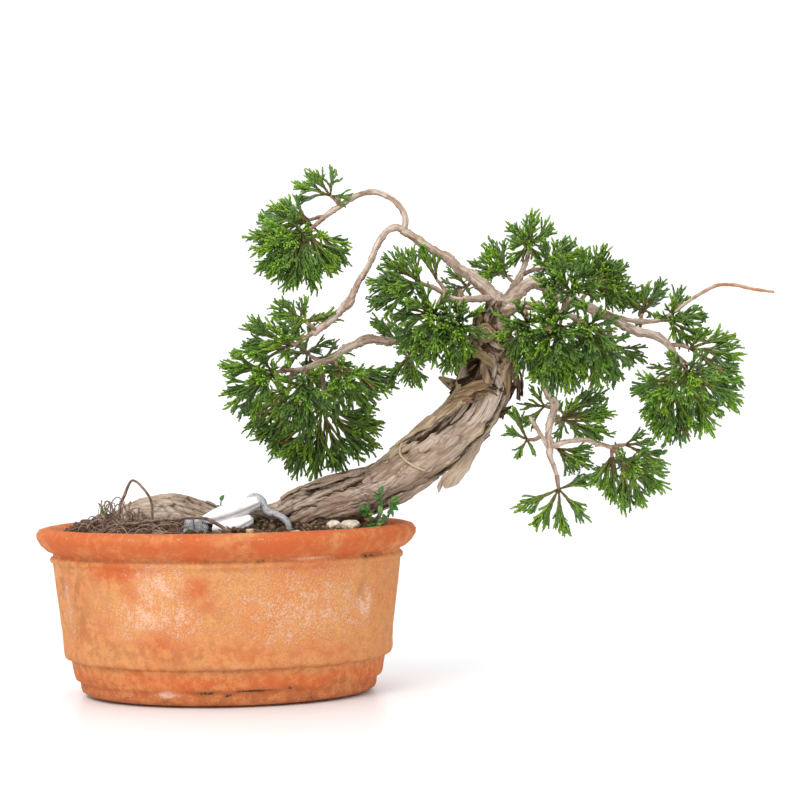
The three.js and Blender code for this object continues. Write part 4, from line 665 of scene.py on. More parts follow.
# Marks on the pot's wall: angle, height, half-width, half-height, strength. At 270 degrees is the front.
BLOOMS = [(251, 68, 12, 16, 0.62), (247, 52, 14, 13, 0.62), (258, 50, 9, 16, 0.5), (238, 42, 12, 10, 0.4),
    (225, 56, 8, 16, 0.3), (292, 44, 14, 13, 0.42), (276, 56, 16, 16, 0.3), (325, 54, 7, 15, 0.6),
    (208, 56, 6, 18, 0.5), (301, 81.5, 8, 1.4, 0.9), (250, 7.5, 6, 2.4, 0.8), (278, 72, 30, 4, 0.3),
    (262, 93.5, 60, 1.6, 0.3), (60, 45, 30, 20, 0.5), (120, 40, 26, 24, 0.6), (90, 86, 50, 3, 0.4),
    (300, 56, 36, 26, 0.46)]
FIRED = [(236, 76, 14, 8, 0.95), (241, 66, 5, 10, 0.6), (264, 67, 5, 9, 0.75), (268, 58, 4, 6, 0.5),
    (252, 36, 14, 8, 0.55), (226, 42, 10, 9, 0.35), (243, 16, 16, 9, 0.6), (288, 90, 10, 5, 1.3),
    (216, 90, 12, 5, 1.2), (250, 88, 12, 4, 1.0), (315, 91, 12, 4, 0.9), (300, 78, 10, 5, 0.6),
    (305, 30, 18, 5, 0.4), (277, 30, 14, 6, 0.5), (90, 60, 20, 14, 0.6)]
# Darker marks: soot, a chip and dark patches, and painted shadow lines in the cove under the rim's lip
# (height 81) and under the ledges (heights 9 to 12 and 21.2).
SOOT_AND_SHADOW_LINES = [(266, 9.0, 5, 1.8, 1.05), (274, 7.4, 3, 1.4, 1.05), (283, 9.8, 9, 1.0, 1.0),
    (296, 10.4, 4, 1.2, 1.0), (318, 12, 9, 1.2, 1.05), (262, 81, 70, 0.8, 0.75),
    (284, 81, 3, 1.4, 0.9), (205, 66, 3, 9, 0.6), (325, 81, 6, 1.5, 0.85), (322, 60, 2.5, 9, 0.5),
    (262, 21.2, 90, 1.0, 0.6), (214, 55, 14, 26, 0.42), (232, 32, 16, 8, 0.28), (258, 30, 10, 5, 0.3),
    (214, 12, 12, 4, 0.5)]


def marks(spots, angle, z, p, seed):
    """How strongly the spots show, from 0 to 1, with ragged edges."""
    total = np.zeros(angle.shape)
    ragged = 0.5 * fractal(p / 9, 3, seed)
    for at, height, half_width, half_height, strength in spots:
        turn = (angle - at + 180) % 360 - 180
        reach = np.hypot(turn / half_width, (z - height) / half_height)
        total = np.maximum(total, strength * np.exp(-0.9 * (reach * (1 + ragged)) ** 2))
    return total


def add_pot(material):
    parts = Parts()
    outside = wall_points(POT_OUTSIDE[1:], 2.2)
    outline = np.array(outside + wall_points(POT_INSIDE[:-1], 6))
    turn = 2 * math.pi * np.arange(POT_SIDES) / POT_SIDES
    radius, height = outline[:, :1], outline[:, 1:]
    points = np.stack([radius * np.cos(turn), POT_DEPTH_RATIO * radius * np.sin(turn), height + 0 * turn],
        -1)
    out = unit(points * [1, 1 / POT_DEPTH_RATIO**2, 0])
    outer = np.arange(len(outline))[:, None] < len(outside)
    ledge = np.exp(-(((height - 21) / 9) ** 2))
    free = step_between(2, 8, height) * outer
    waver = 0.5 * ledge * noise(points * [0.05, 0.05, 0.35], 3)
    proud = 0.45 * noise(points / 22, 5) + 0.22 * fractal(points / 6, 3, 6) + waver
    points = points + out * (proud * free)[..., None]
    points[..., 0] += POT_SHIFT
    points[..., 2] += free * (0.35 * ledge * noise(points[..., :2][..., [0, 1, 1]] / 14,
        8) + 0.25 * noise(points / 30, 9))
    degrees = np.degrees(turn) + 0 * height
    level = points[..., 2]
    ragged = fractal(points / 14, 3, 10)
    rim = step_between(78, 84, level + 2 * ragged) * np.clip(0.66 + 0.5 * ragged, 0.3, 1.0)
    foot = np.clip(0.6 + 0.35 * ragged, 0.3, 0.9) * step_between(27, 14, level + 4 * ragged)
    fired = np.maximum(marks(FIRED, degrees, level, points, 12), np.maximum(rim, foot))
    # Painted shade: the wall is darker towards the floor, below a height of 11.
    foot_shade = np.clip(0.45 + 0.3 * ragged, 0.25, 0.6) * step_between(11, 6, level)
    soot_and_shade = np.maximum(marks(SOOT_AND_SHADOW_LINES, degrees, level, points, 13), foot_shade)
    tint = np.stack([marks(BLOOMS, degrees, level, points, 11), fired, soot_and_shade], -1)
    parts.add(points, grid_faces(len(outline), POT_SIDES), tint=tint.reshape(-1, 3))
    rings = len(outline)
    drains = [[Vector((side * DRAIN_OFFSET + DRAIN_RADIUS * math.cos(a), DRAIN_RADIUS * math.sin(a), 0))
               for a in np.linspace(0, 2 * math.pi, 24, endpoint=False)] for side in (-1, 1)]
    for ring, upwards in ((0, False), (rings - 1, True)):
        edge = [Vector(p) for p in points[ring]]
        level = edge[0].z
        loops = [edge] + [[Vector((p.x, p.y, level)) for p in drain] for drain in drains]
        flat = [p for loop in loops for p in loop]
        faces = []
        for a, b, c in tessellate_polygon(loops):
            facing = (flat[b] - flat[a]).cross(flat[c] - flat[a]).z > 0
            faces.append((a, b, c) if facing == upwards else (a, c, b))
        parts.add(flat, triangles=faces, tint=(0, 0.3, 0.4))
    for drain in drains:
        wall = np.array([[[p.x, p.y, level] for p in drain] for level in (0, POT_INSIDE[-1][1])])
        parts.add(wall, grid_faces(2, len(drain))[:, ::-1], tint=(0, 0.3, 0.5))
    make("pot_wall", parts, material, "pot")


# Soil and what is strewn over it

def share_to_wall(x, y):
    """0 in the middle of the soil, and 1 at its edge."""
    return np.hypot(x / SOIL_HALF_WIDTH, y / (SOIL_HALF_WIDTH * POT_DEPTH_RATIO))


def soil_height(x, y):
    """The mound round the trunk, as in the CAD."""
    to_wall = share_to_wall(x, y)
    ridge = np.exp(-(((x - 10) / 85) ** 2) - ((y - 12) / np.where(y < 12, 40, 60)) ** 2)
    lumps = 0.7 * np.sin(x * 0.21 + 1) * np.cos(y * 0.27 - x * 0.05) + 0.4 * np.sin(x * 0.47 - y * 0.4)
    fade = np.maximum(0, 1 - to_wall**6)
    return SOIL_EDGE_HEIGHT + fade * (SOIL_MOUND_HEIGHT * ridge + lumps)


# Where the soil is heaped up or scooped out: x, y, half-width, half-depth, height
HEAPS = [(-76, -12, 16, 22, 6.5), (-50, -30, 16, 8, 3.0), (-14, -26, 12, 8, -5.0), (30, -30, 22, 8, -1.5),
    (84, -14, 10, 12, 1.5)]


def fine_soil_height(x, y):
    p = np.stack([x, y, 0 * x], -1)
    heaped = soil_height(x, y) + 0.9 * fractal(p / 6, 3, 21) + 0.35 * noise(p / 0.9, 25)
    to_wall = share_to_wall(x, y)
    for at_x, at_y, half_width, half_depth, height in HEAPS:
        reach = ((x - at_x) / half_width) ** 2 + ((y - at_y) / half_depth) ** 2
        heaped = heaped + height * np.exp(-reach) * step_between(1.0, 0.9, to_wall)
    return heaped


def lumps_at(parts, centres, sizes, turns, tints, shape):
    """Many copies of a small solid, each stretched, turned and tinted its own way."""
    corners, faces = shape
    count = len(centres)
    a, b, c = turns.T
    zero, one = np.zeros(count), np.ones(count)
    turn_z = np.stack([np.cos(a), -np.sin(a), zero, np.sin(a), np.cos(a), zero, zero, zero, one],
        -1).reshape(-1, 3, 3)
    turn_y = np.stack([np.cos(b), zero, np.sin(b), zero, one, zero, -np.sin(b), zero, np.cos(b)],
        -1).reshape(-1, 3, 3)
    turn_x = np.stack([one, zero, zero, zero, np.cos(c), -np.sin(c), zero, np.sin(c), np.cos(c)],
        -1).reshape(-1, 3, 3)
    turned = turn_z @ turn_y @ turn_x
    points = np.einsum("nij,nkj->nki", turned, corners[None] * sizes[:, None])
    points += centres[:, None]
    every = (np.arange(count) * len(corners))[:, None, None] + faces[None]
    parts.add(points, triangles=every.reshape(-1, 3), tint=np.repeat(tints, len(corners), axis=0))


def ball(levels):
    """A unit ball of triangles: its corners and faces."""
    mesh = bmesh.new()
    bmesh.ops.create_icosphere(mesh, subdivisions=levels, radius=1)
    corners = np.array([v.co for v in mesh.verts])
    faces = np.array([[v.index for v in f.verts] for f in mesh.faces])
    mesh.free()
    return corners, faces


def strewn(random, count):
    """Places on the soil, evenly over its oval."""
    turn = random.uniform(0, 2 * math.pi, count)
    reach = SOIL_HALF_WIDTH * STREWN_REACH * np.sqrt(random.uniform(0, 1, count))
    return reach * np.cos(turn), POT_DEPTH_RATIO * reach * np.sin(turn)


def add_soil(material):
    parts = Parts()
    shares = np.concatenate([np.linspace(0.012, 1, SOIL_RINGS), [1.0]])[:, None]
    turn = 2 * math.pi * np.arange(SOIL_SIDES) / SOIL_SIDES
    radius = SOIL_SHEET_REACH * shares
    x, y = radius * np.cos(turn), POT_DEPTH_RATIO * radius * np.sin(turn)
    z = fine_soil_height(x, y)
    top = np.stack([x, y, z], -1)
    wall = []
    for across, level in POT_INSIDE[1:-1]:
        level = min(level, SOIL_EDGE_HEIGHT - 2) if level > POT_INSIDE[-1][1] else level + 0.4
        wall.append(np.stack([(across - 1) * np.cos(turn), POT_DEPTH_RATIO * (across - 1) * np.sin(turn),
            level + 0 * turn], -1))
    rings = np.concatenate([top, wall])
    count = rings.shape[0] * SOIL_SIDES
    k = np.arange(SOIL_SIDES)
    low = count - SOIL_SIDES
    middle = [[0, 0, fine_soil_height(np.zeros(1), np.zeros(1))[0]], [0, 0, POT_INSIDE[-1][1] + 0.4]]
    fans = np.vstack([np.stack([np.full(SOIL_SIDES, count), k, (k + 1) % SOIL_SIDES], 1),
        np.stack([np.full(SOIL_SIDES, count + 1), low + (k + 1) % SOIL_SIDES, low + k], 1)])
    points = np.vstack([rings.reshape(-1, 3), middle])
    shade = step_between(-0.7, 0.6, fractal(points / 5, 4, 31))
    leftwards = step_between(20, -80, points[:, 0])
    tint = blend_rgb(SOIL_DARK, blend_rgb(SOIL_BROWN, SOIL_PALE, leftwards), shade)
    parts.add(points, grid_faces(rings.shape[0], SOIL_SIDES)[:, ::-1], fans, tint)
    random = np.random.default_rng(5)
    small_ball = ball(1)
    for count, least, most, flat, colours in STREWN:
        x, y = strewn(random, count)
        size = random.uniform(least, most, count)
        sizes = size[:, None] * np.array(flat) * random.uniform(0.7, 1.3, (count, 3))
        centres = np.stack([x, y, fine_soil_height(x, y) + 0.25 * size], -1)
        turns = random.uniform(0, 2 * math.pi, (count, 3)) * [1, 0.12, 0.12]
        share = random.uniform(0, 1, count)
        tints = blend_rgb(colours[0], colours[1], share)
        lumps_at(parts, centres, sizes, turns, tints, small_ball)
    make("soil_bed", parts, material, "soil")


SOIL_DARK = (0.018, 0.010, 0.006)
SOIL_BROWN = (0.12, 0.070, 0.045)
SOIL_PALE = (0.20, 0.125, 0.080)
# Grains, bark bits, litter, moss and grit: count, smallest, largest, stretch, colours
STREWN = [
    (1500, 0.5, 1.7, (1, 1, 0.8), ((0.05, 0.028, 0.018), (0.24, 0.15, 0.10))),
    (240, 1.2, 2.8, (1.3, 0.8, 0.5), ((0.07, 0.035, 0.02), (0.32, 0.20, 0.13))),
    (420, 1.0, 2.4, (1.8, 0.22, 0.22), ((0.10, 0.05, 0.02), (0.42, 0.27, 0.16))),
    (160, 0.8, 2.0, (1, 1, 0.5), ((0.05, 0.07, 0.015), (0.13, 0.17, 0.05))),
    (90, 0.4, 1.0, (1, 1, 0.8), ((0.5, 0.42, 0.34), (0.85, 0.8, 0.74))),
]


# Trunk and limbs

BARK_DARK = (0.050, 0.028, 0.015)
BARK_BROWN = (0.42, 0.30, 0.215)
BARK_GREY = (0.66, 0.54, 0.44)
BARK_PINK = (0.72, 0.58, 0.50)
BARK_TAN = (0.56, 0.45, 0.28)
BARK_UPPER = (0.24, 0.145, 0.070)
LIMB_PALE = (0.80, 0.68, 0.59)
LIMB_BROWN = (0.36, 0.22, 0.145)
LIMB_TIP = (0.62, 0.27, 0.11)
TWIG_BROWN = (0.24, 0.11, 0.05)

# Strips of bark that stand off the trunk. Each runs through [along, angle, half-width, lift].
# Along is from the trunk's foot. The angle is 0 on its upper side and 90 at its front. Two tints follow.
STRIPS = {
    "smooth": ([[258, 120, 2, 0.6], [243, 113, 4.5, 0.7], [228, 114, 6, 0.7], [211, 114, 6, 0.7],
        [194, 106, 5.5, 0.7], [180, 98, 4.5, 0.6], [160, 88, 1.5, 0.4]], ((0.34, 0.24, 0.17),
        (0.66, 0.54, 0.44))),
    "split": ([[241, 66, 2.0, 0.6], [231, 52, 3.4, 1.3], [221, 42, 4.0, 2.0], [210, 34, 3.7, 2.2],
        [200, 29, 2.4, 1.9], [190, 27, 0.8, 1.2]], ((0.34, 0.23, 0.13), (0.70, 0.57, 0.40))),
    "lip": ([[158, 28, 1.2, 0.4], [146, 24, 2.5, 1.2], [133, 14, 3, 2.0], [123, 14, 3, 2.2],
        [114, 26, 1.4, 2.4]], ((0.34, 0.22, 0.14), (0.60, 0.46, 0.34))),
    "plate": ([[200, 80, 2, 0.8], [190, 76, 4.5, 1.0], [178, 74, 4.5, 1.2], [168, 74, 2, 1.2]],
        ((0.30, 0.21, 0.15), (0.56, 0.44, 0.34))),
    "ridge": ([[230, 26, 1.6, 1.0], [238, 44, 2.6, 2.2], [246, 66, 3.0, 2.8], [255, 100, 2.0, 1.8]],
        ((0.22, 0.13, 0.065), (0.52, 0.37, 0.22))),
    "ridge_low": ([[226, 36, 1.2, 1.0], [234, 54, 2.0, 1.6], [242, 78, 2.2, 1.8], [249, 104, 1.2, 1.0]],
        ((0.18, 0.10, 0.05), (0.44, 0.30, 0.18))),
    "low": ([[175, 112, 2, 0.5], [158, 106, 4, 0.6], [138, 102, 4.5, 0.6], [122, 104, 3.5, 0.5],
        [108, 106, 1.5, 0.4]], ((0.30, 0.20, 0.14), (0.56, 0.44, 0.34))),
    "throat": ([[280, 104, 1.2, 1.2], [268, 112, 3.0, 2.2], [258, 126, 3.0, 2.4], [250, 140, 1.2, 3.2]],
        ((0.32, 0.20, 0.10), (0.62, 0.47, 0.31))),
    "collar": ([[276, 46, 1.2, 1.5], [270, 66, 2.8, 2.5], [266, 88, 2.6, 2.8], [262, 112, 1.2, 2.4]],
        ((0.26, 0.16, 0.08), (0.52, 0.38, 0.23))),
    "torn": ([[279, 78, 1.0, 2.0], [277, 90, 1.8, 3.5], [274, 104, 1.0, 5.0]],
        ((0.60, 0.46, 0.38), (0.80, 0.68, 0.60))),
    "shag_high": ([[272, 128, 1.2, 1.5], [264, 134, 2.2, 3.5], [256, 138, 1.4, 7.0]],
        ((0.16, 0.09, 0.05), (0.40, 0.27, 0.16))),
    "shag_low": ([[268, 146, 1.2, 1.5], [260, 150, 2.4, 4.5], [251, 152, 1.2, 8.5]],
        ((0.14, 0.08, 0.045), (0.36, 0.24, 0.15))),
    "shag_back": ([[272, 166, 1.2, 2.0], [262, 168, 2.4, 5.0], [254, 170, 1.2, 8.0]],
        ((0.14, 0.08, 0.045), (0.38, 0.26, 0.16))),
    "curl": ([[266, 74, 1.0, 1.2], [259, 82, 2.0, 3.2], [252, 92, 1.2, 4.0]],
        ((0.22, 0.13, 0.07), (0.48, 0.35, 0.22))),
}
# The loose strand round the trunk: along, angle, lift
STRAND = [[196, 20, 1.0], [190, 60, 1.8], [192, 92, 2.2], [196, 120, 1.0]]
# Deep places on the trunk, painted dark as shade: along, angle, half-length, half-width and depth
HOLLOWS = [(226, 70, 15, 2.2, 2.6), (212, 60, 12, 1.8, 3.0), (186, 58, 16, 1.4, 1.6),
    (160, 60, 14, 1.2, 1.2), (243, 134, 12, 1.8, 2.4), (224, 143, 14, 2.0, 2.4),
    (207, 156, 10, 2.0, 2.0), (262, 50, 8, 4.0, 2.6), (256, 88, 6, 3.0, 3.0), (272, 120, 8, 2.6, 3.0),
    (130, 40, 20, 1.2, 1.0), (120, 120, 30, 1.0, 0.9)]
# Long cracks in the trunk's bark: half-width, depth, then points [along, angle]
SPLITS = [
    (0.9, 2.6, [[258, 130], [254, 134], [245, 135], [237, 139], [228, 145], [216, 156], [205, 168],
    [197, 174]]), (1.3, 2.2, [[198, 40], [207, 56], [217, 64], [228, 67], [238, 76]]),
    (0.45, 1.1, [[185, 71], [198, 82], [208, 96], [220, 102], [230, 100], [240, 94]]),
    (0.6, 1.4, [[134, 65], [149, 65], [167, 68], [183, 81], [194, 104], [205, 122]]),
    (0.5, 1.2, [[122, 72], [138, 97], [156, 103], [172, 114], [186, 124]]),
    (0.5, 1.2, [[131, 34], [148, 41], [166, 44], [179, 45], [190, 52]]),
    (0.4, 1.0, [[222, 100], [226, 112], [231, 122], [236, 126]]),
    (0.4, 0.9, [[96, 60], [108, 76], [124, 84], [140, 80]]),
    (0.5, 1.2, [[170, 260], [195, 250], [220, 268], [245, 262]]),
    (0.5, 1.2, [[120, 300], [150, 316], [190, 310], [230, 322]]),
]
TRUNK_SIDES = 156
LOOSE_STRIPS = 60
UPPER_CHIPS = 96  # short curled ones, near the trunk's top


class Bole:
    """The trunk's line, to place things by how far along it and how far round they are."""

    def __init__(self):
        self.rows, self.along = spline(LIMBS["trunk"], 1.15)
        self.tangents, self.first, self.second = frames(self.rows[:, :3])

    def at(self, along, degrees, lift):
        read = [np.interp(along, self.along, column) for table in (self.rows, self.first,
            self.second) for column in table.T]
        read = np.stack(read, -1)
        turn = np.radians(degrees)[..., None]
        out = read[..., 4:7] * np.cos(turn) + read[..., 7:10] * np.sin(turn)
        return read[..., :3] + out * (read[..., 3:4] + np.asarray(lift)[..., None]), out

    def radius(self, along):
        return np.interp(along, self.along, self.rows[:, 3])


def split_distance(angle, along, radius, points, route):
    """How far each point of the trunk is, over its surface, from a winding line of [along, angle]."""
    nearest = np.full(angle.shape, 99.0)
    wander = 1.3 * noise(points / 4, 65)
    for (start, turn), (end, next_turn) in zip(route, route[1:]):
        share = np.clip((along - start) / (end - start), 0, 1)
        aside = half_turn(angle - np.radians(turn + (next_turn - turn) * share))
        nearest = np.minimum(nearest, np.hypot(radius * aside + wander,
            along - start - (end - start) * share))
    return nearest


def trunk_bark(angle, along, radius, points, out):
    """Flutes as in the CAD, long strips with cracks between them, hollows, and fine strands. Its tint has
    painted shade in the hollows, splits and sunken places, and darker cracks.
    """
    share = along / along.max()
    twist = angle + 5 * share
    flutes = (0.075 * np.cos(3 * twist) + 0.05 * np.cos(5 * twist + 1.3)
        + 0.03 * np.cos(2 * angle + 40 * share))
    lean = angle + 1.6 * share
    grain = grain_place(lean, along, radius)
    warped = grain + 2.2 * np.stack([noise(grain / [7, 7, 26], s) for s in (41, 42, 43)], -1)
    near, next_near, number = cells(warped / [6.5, 6.5, 62], 44)
    crack = seam(near, next_near, 0.12)
    near, next_near, fine_number = cells(warped / [2.8, 2.8, 17], 48)
    fine_crack = seam(near, next_near, 0.16)
    near, next_near, plate_number = cells(warped / [4.4, 4.4, 8.0], 52)
    flaky = step_between(-0.35, 0.25, noise(points / 22, 56))
    plate_crack = flaky * seam(near, next_near, 0.11)
    strands = fractal(grain / [1.1, 1.1, 15], 3, 60)
    deep = np.zeros(angle.shape)
    for at, turn, half_length, half_width, depth in HOLLOWS:
        across = radius * half_turn(angle - math.radians(turn))
        across = across + 0.8 * noise(points / 3.5, 64)
        reach = np.hypot((along - at) / half_length, across / half_width)
        deep = np.maximum(deep, depth * (1 - step_between(0.25, 1.25, reach)))
    for half_width, depth, route in SPLITS:
        reach = split_distance(angle, along, radius, points, route) / half_width
        deep = np.maximum(deep, depth * (1 - step_between(0.4, 1.5, reach)))
    hump = step_between(104, 78, along)
    calm = step_between(160, 182, along) * step_between(262, 244, along)
    crack, deep = crack * (1 - 0.65 * hump) * (1 - 0.5 * calm), deep * (1 - hump)
    fine_crack, plate_crack = fine_crack * (1 - 0.7 * calm), plate_crack * (1 - 0.6 * calm)
    strands = strands + 0.5 * hump * fractal(grain / [0.7, 0.7, 7], 2, 61)
    proud = (radius * flutes + (1.3 - 0.5 * hump) * (number - 0.5) - 0.65 * crack
        + 0.5 * (fine_number - 0.5) - 0.3 * fine_crack)
    proud = (proud + flaky * 0.8 * (plate_number - 0.5) - 0.4 * plate_crack
        + 0.35 * strands + 0.9 * noise(points / 15, 68))
    upper = step_between(176, 196, points[..., 2] + 5 * noise(points / 9, 69))
    chunks = fractal(points / 6.5, 3, 72)
    proud = proud + upper * 3.2 * chunks - deep
    tone = 0.2 + 0.45 * number + 0.35 * fine_number + 0.45 * noise(points / 16, 76) + 0.3 * strands
    plate = blend_rgb(BARK_BROWN, BARK_GREY, np.clip(tone, 0, 1))
    turn = np.degrees(angle) % 360 + 14 * noise(points / 9, 77)
    tan = np.maximum(step_between(60, 48, turn), step_between(122, 134, turn))
    plate = blend_rgb(plate, blend_rgb(BARK_PINK, BARK_TAN, tan), 0.6 * calm * np.clip(0.4 + tone, 0, 1))
    plate = blend_rgb(plate, BARK_UPPER, 0.85 * upper * (0.4 + 0.6 * (number < 0.7)))
    # Painted shade: darker where the bark sinks below its flutes, in the low places among the chunks near
    # the top, and in the hollows and splits. The cracks are darker too, partly as painted shade.
    sunken = step_between(-0.4, -2.2, proud - radius * flutes) * 0.5 + 0.8 * upper * step_between(0.1,
        -0.4, chunks)
    shade = 0.7 * crack + 0.4 * fine_crack + 0.6 * plate_crack + 0.95 * step_between(0.3, 1.5, deep) + sunken
    return proud, blend_rgb(plate, BARK_DARK, np.clip(shade, 0, 1))


def peeled(across, down, seed):
    """The surface of a loose piece of bark: how proud it stands, and how light it is from 0 to 1."""
    place = np.stack(np.broadcast_arrays(across, down, 0.0), -1)
    warped = place + 1.2 * np.stack([noise(place / [4, 11, 1], seed), noise(place / [5, 9, 1], seed + 1),
        place[..., 2]], -1)
    near, next_near, number = cells(warped / [3.2, 22, 1], seed + 2)
    crack = seam(near, next_near, 0.14)
    fibres = fractal(place / [1.0, 12, 1], 3, seed + 3)
    light = 0.5 + 0.35 * (number - 0.5) + 0.5 * fibres + 0.35 * noise(place / [7, 12, 1],
        seed + 4) - 0.8 * crack
    return 0.5 * (number - 0.5) + 0.35 * fibres - 0.6 * crack, np.clip(light, 0, 1)


def add_sheet(parts, top, bottom, tint, under, across, down):
    """A thin closed slab between two grids of points. The grain runs across and down it."""
    rows, columns = top.shape[:2]
    count = rows * columns
    faces = grid_faces(rows, columns, closed=False)
    rim = np.concatenate([np.arange(columns), columns * np.arange(1, rows) + columns - 1,
        count - 2 - np.arange(columns - 1), columns * np.arange(rows - 2, 0, -1)])
    sides = np.stack([np.roll(rim, -1), rim, rim + count, np.roll(rim, -1) + count], 1)
    grain = np.stack(np.broadcast_arrays(across, 0 * across, down), -1)
    tints = np.concatenate([np.broadcast_to(tint, top.shape).reshape(-1, 3),
        np.broadcast_to(under, (count, 3))])
    parts.add(np.stack([top, bottom]), np.vstack([faces, faces[:, ::-1] + count, sides]), tint=tints,
        grain=np.concatenate([grain, grain]).reshape(-1, 3))


def add_strip(parts, bole, route, tints, seed):
    """A strip of bark whose edges and ends lift off the trunk."""
    route = np.array(route, float)
    girth = bole.radius(route[:, 0])
    flat = np.stack([route[:, 0], girth * np.radians(route[:, 1]), 0 * girth, *route[:, 2:].T], 1)
    rows, run = spline(flat, 1.4)
    heading = unit(np.gradient(rows[:, :2], axis=0))
    t = np.linspace(-1, 1, 13 if route[:, 2].max() > 2.5 else 7)[None]
    wander = 1 + 0.30 * noise(np.stack([run / 4, 0 * run, 0 * run], -1), seed)[:, None]
    edge = np.stack(np.broadcast_arrays(run[:, None] / 7, 5 * np.sign(t), 0.0), -1)
    ragged = 0.25 * fractal(edge, 3, seed + 1)
    reach = rows[:, 3:4] * wander * (t + ragged * np.abs(t) ** 5 * np.sign(t))
    along = rows[:, :1] - heading[:, 1:] * reach
    arc = rows[:, 1:2] + heading[:, :1] * reach
    degrees = np.degrees(arc / bole.radius(along))
    sideways = np.abs(heading[:, 1]).mean() > 0.6
    across, down = (reach, run[:, None] + 0 * reach) if sideways else (arc, along)
    proud, light = peeled(across, down, seed + 2)
    lift = rows[:, 4:5] * (0.8 + 0.2 * t**2) + proud + 0.5 - 0.5 * np.abs(t) ** 4
    top, out = bole.at(along, degrees, lift)
    bottom = top - out * (0.9 - 0.4 * np.abs(t)[..., None])
    # Painted shade: the underside and edges are near black where the strip lifts off the trunk.
    add_sheet(parts, top, bottom, blend_rgb(*tints, light), BARK_DARK, across, down)


def limb_bark(angle, along, radius, points, out):
    """Thin bark in long strips, with rings and knots, and painted shade on the underside."""
    grain = grain_place(angle, along, radius)
    near, next_near, number = cells(grain / [1.6, 1.6, 11], 61)
    crack = seam(near, next_near, 0.22)
    knots = np.maximum(0, noise(points / 5, 62) - 0.2)
    rings = 0.10 * np.sin(along * 2.3 + 3 * noise(points / 6, 63)) * step_between(-0.4, 0.3,
        noise(points / 12, 64))
    joints = (along + 4 * noise(points / 14, 65)) % 11 - 5.5
    rings = rings + 0.20 * np.exp(-((joints / 0.9) ** 2))
    proud = radius * (0.26 * (number - 0.5) + 0.6 * knots + rings - 0.14 * crack)
    # Painted shade: darker where the limb's surface faces down.
    below = step_between(0.1, -0.8, out[..., 2])
    patch = step_between(0.0, 0.5, noise(points / 9, 66))
    shade = 0.4 * (number > 0.7) + 0.5 * crack + 0.3 * below + 0.35 * patch
    tint = blend_rgb(LIMB_PALE, LIMB_BROWN, np.clip(shade, 0, 0.95))
    return proud, blend_rgb(tint, LIMB_TIP, 0.7 * step_between(268, 300, points[..., 0]))


def upper_bark(angle, along, radius, points, out):
    """Brown broken wood, for the stubs."""
    rough = fractal(points / 2.2, 3, 67)
    return 0.9 * rough, blend_rgb(BARK_DARK, (0.52, 0.38, 0.24), step_between(-0.5, 0.5, rough))


def add_trunk(material):
    parts = Parts()
    sweep(parts, LIMBS["trunk"], TRUNK_SIDES, 1.1, trunk_bark)
    for name, stations in LIMBS.items():
        if name == "trunk":
            continue
        sides = 20 if stations[0][3] > 3 else 14
        sweep(parts, stations, sides, 1.0, limb_bark)
    for stations in STUBS:
        sweep(parts, stations, 22, 1.0, upper_bark)
    for twig, _ in SPRAYS.values():
        bends, hub = np.array(twig[:-1], float), np.array(twig[-1], float)
        stations = np.vstack([bends, bends[-1] + (hub - bends[-1]) * 0.4, hub])
        foot = np.hstack([stations, np.linspace(1.4, 0.9, len(stations))[:, None]])
        sweep(parts, foot, 8, 1.3, twig_bark)
    bole = Bole()
    for i, (route, tints) in enumerate(STRIPS.values()):
        add_strip(parts, bole, route, tints, 400 + 10 * i)
    random = np.random.default_rng(9)
    for i in range(LOOSE_STRIPS):
        low, turn = random.uniform(40, 226), random.uniform(0, 360)
        length, half = random.uniform(8, 26), random.uniform(0.8, 2.6)
        drift = random.uniform(-8, 14)
        lift = random.uniform(0.3, 1.6)
        route = [[low, turn, 0.5 * half, 0.4], [low + 0.5 * length, turn + 0.5 * drift, half, 0.3],
            [low + length, turn + drift, 0.6 * half, lift]]
        tone = random.uniform(0, 1)
        light = blend_rgb(BARK_BROWN, BARK_GREY, tone)
        add_strip(parts, bole, route, (0.5 * light, light), 700 + 10 * i)
    for i in range(UPPER_CHIPS):
        low, turn, half = random.uniform(238, 290), random.uniform(0, 360), random.uniform(0.8, 2.4)
        length, drift = random.uniform(3, 8), random.uniform(-60, 60)
        route = [[low, turn, 0.5 * half, random.uniform(0.8, 3.5)],
            [low + 0.5 * length, turn + 0.5 * drift, half, 1.4],
            [low + length, turn + drift, 0.4 * half, random.uniform(0.8, 4.0)]]
        light = blend_rgb((0.13, 0.07, 0.035), (0.48, 0.33, 0.19), random.uniform(0, 1) ** 2.4)
        add_strip(parts, bole, route, (0.3 * light, light), 1400 + 10 * i)
    curl = np.array(STRAND)
    strand = bole.at(curl[:, 0], curl[:, 1], curl[:, 2])[0]
    sweep(parts, np.hstack([strand, np.full((len(strand), 1), 0.6)]), 8, 0.8, tint=(0.66, 0.54, 0.36))
    add_flap(parts)
    add_scar(parts)
    make("trunk_bark", parts, material, "trunk")


def twig_bark(angle, along, radius, points, out):
    rough = fractal(points / 1.4, 2, 71)
    tint = blend_rgb(TWIG_BROWN, LIMB_PALE, np.clip(0.25 + 0.5 * rough, 0, 1))
    return 0.25 * rough, tint


# The bark that hangs from the trunk's right side: its two edges from the top down, as [x, y, z]
FLAP_LEFT = [[155, -7, 167], [149, -11, 151], [140, -15, 137.5], [132.5, -17, 129.5], [125.5, -18, 123.5],
    [121.5, -19, 117]]
FLAP_RIGHT = [[164, 0, 172], [158, -4, 159], [151.5, -8, 147], [145, -12, 134.5], [139.5, -15, 125],
    [131.5, -17, 116]]
FLAP_THICKNESS = 1.1
SCAR = {"x": 151.2, "y": -16, "z": 203.8, "radius": 4.9}


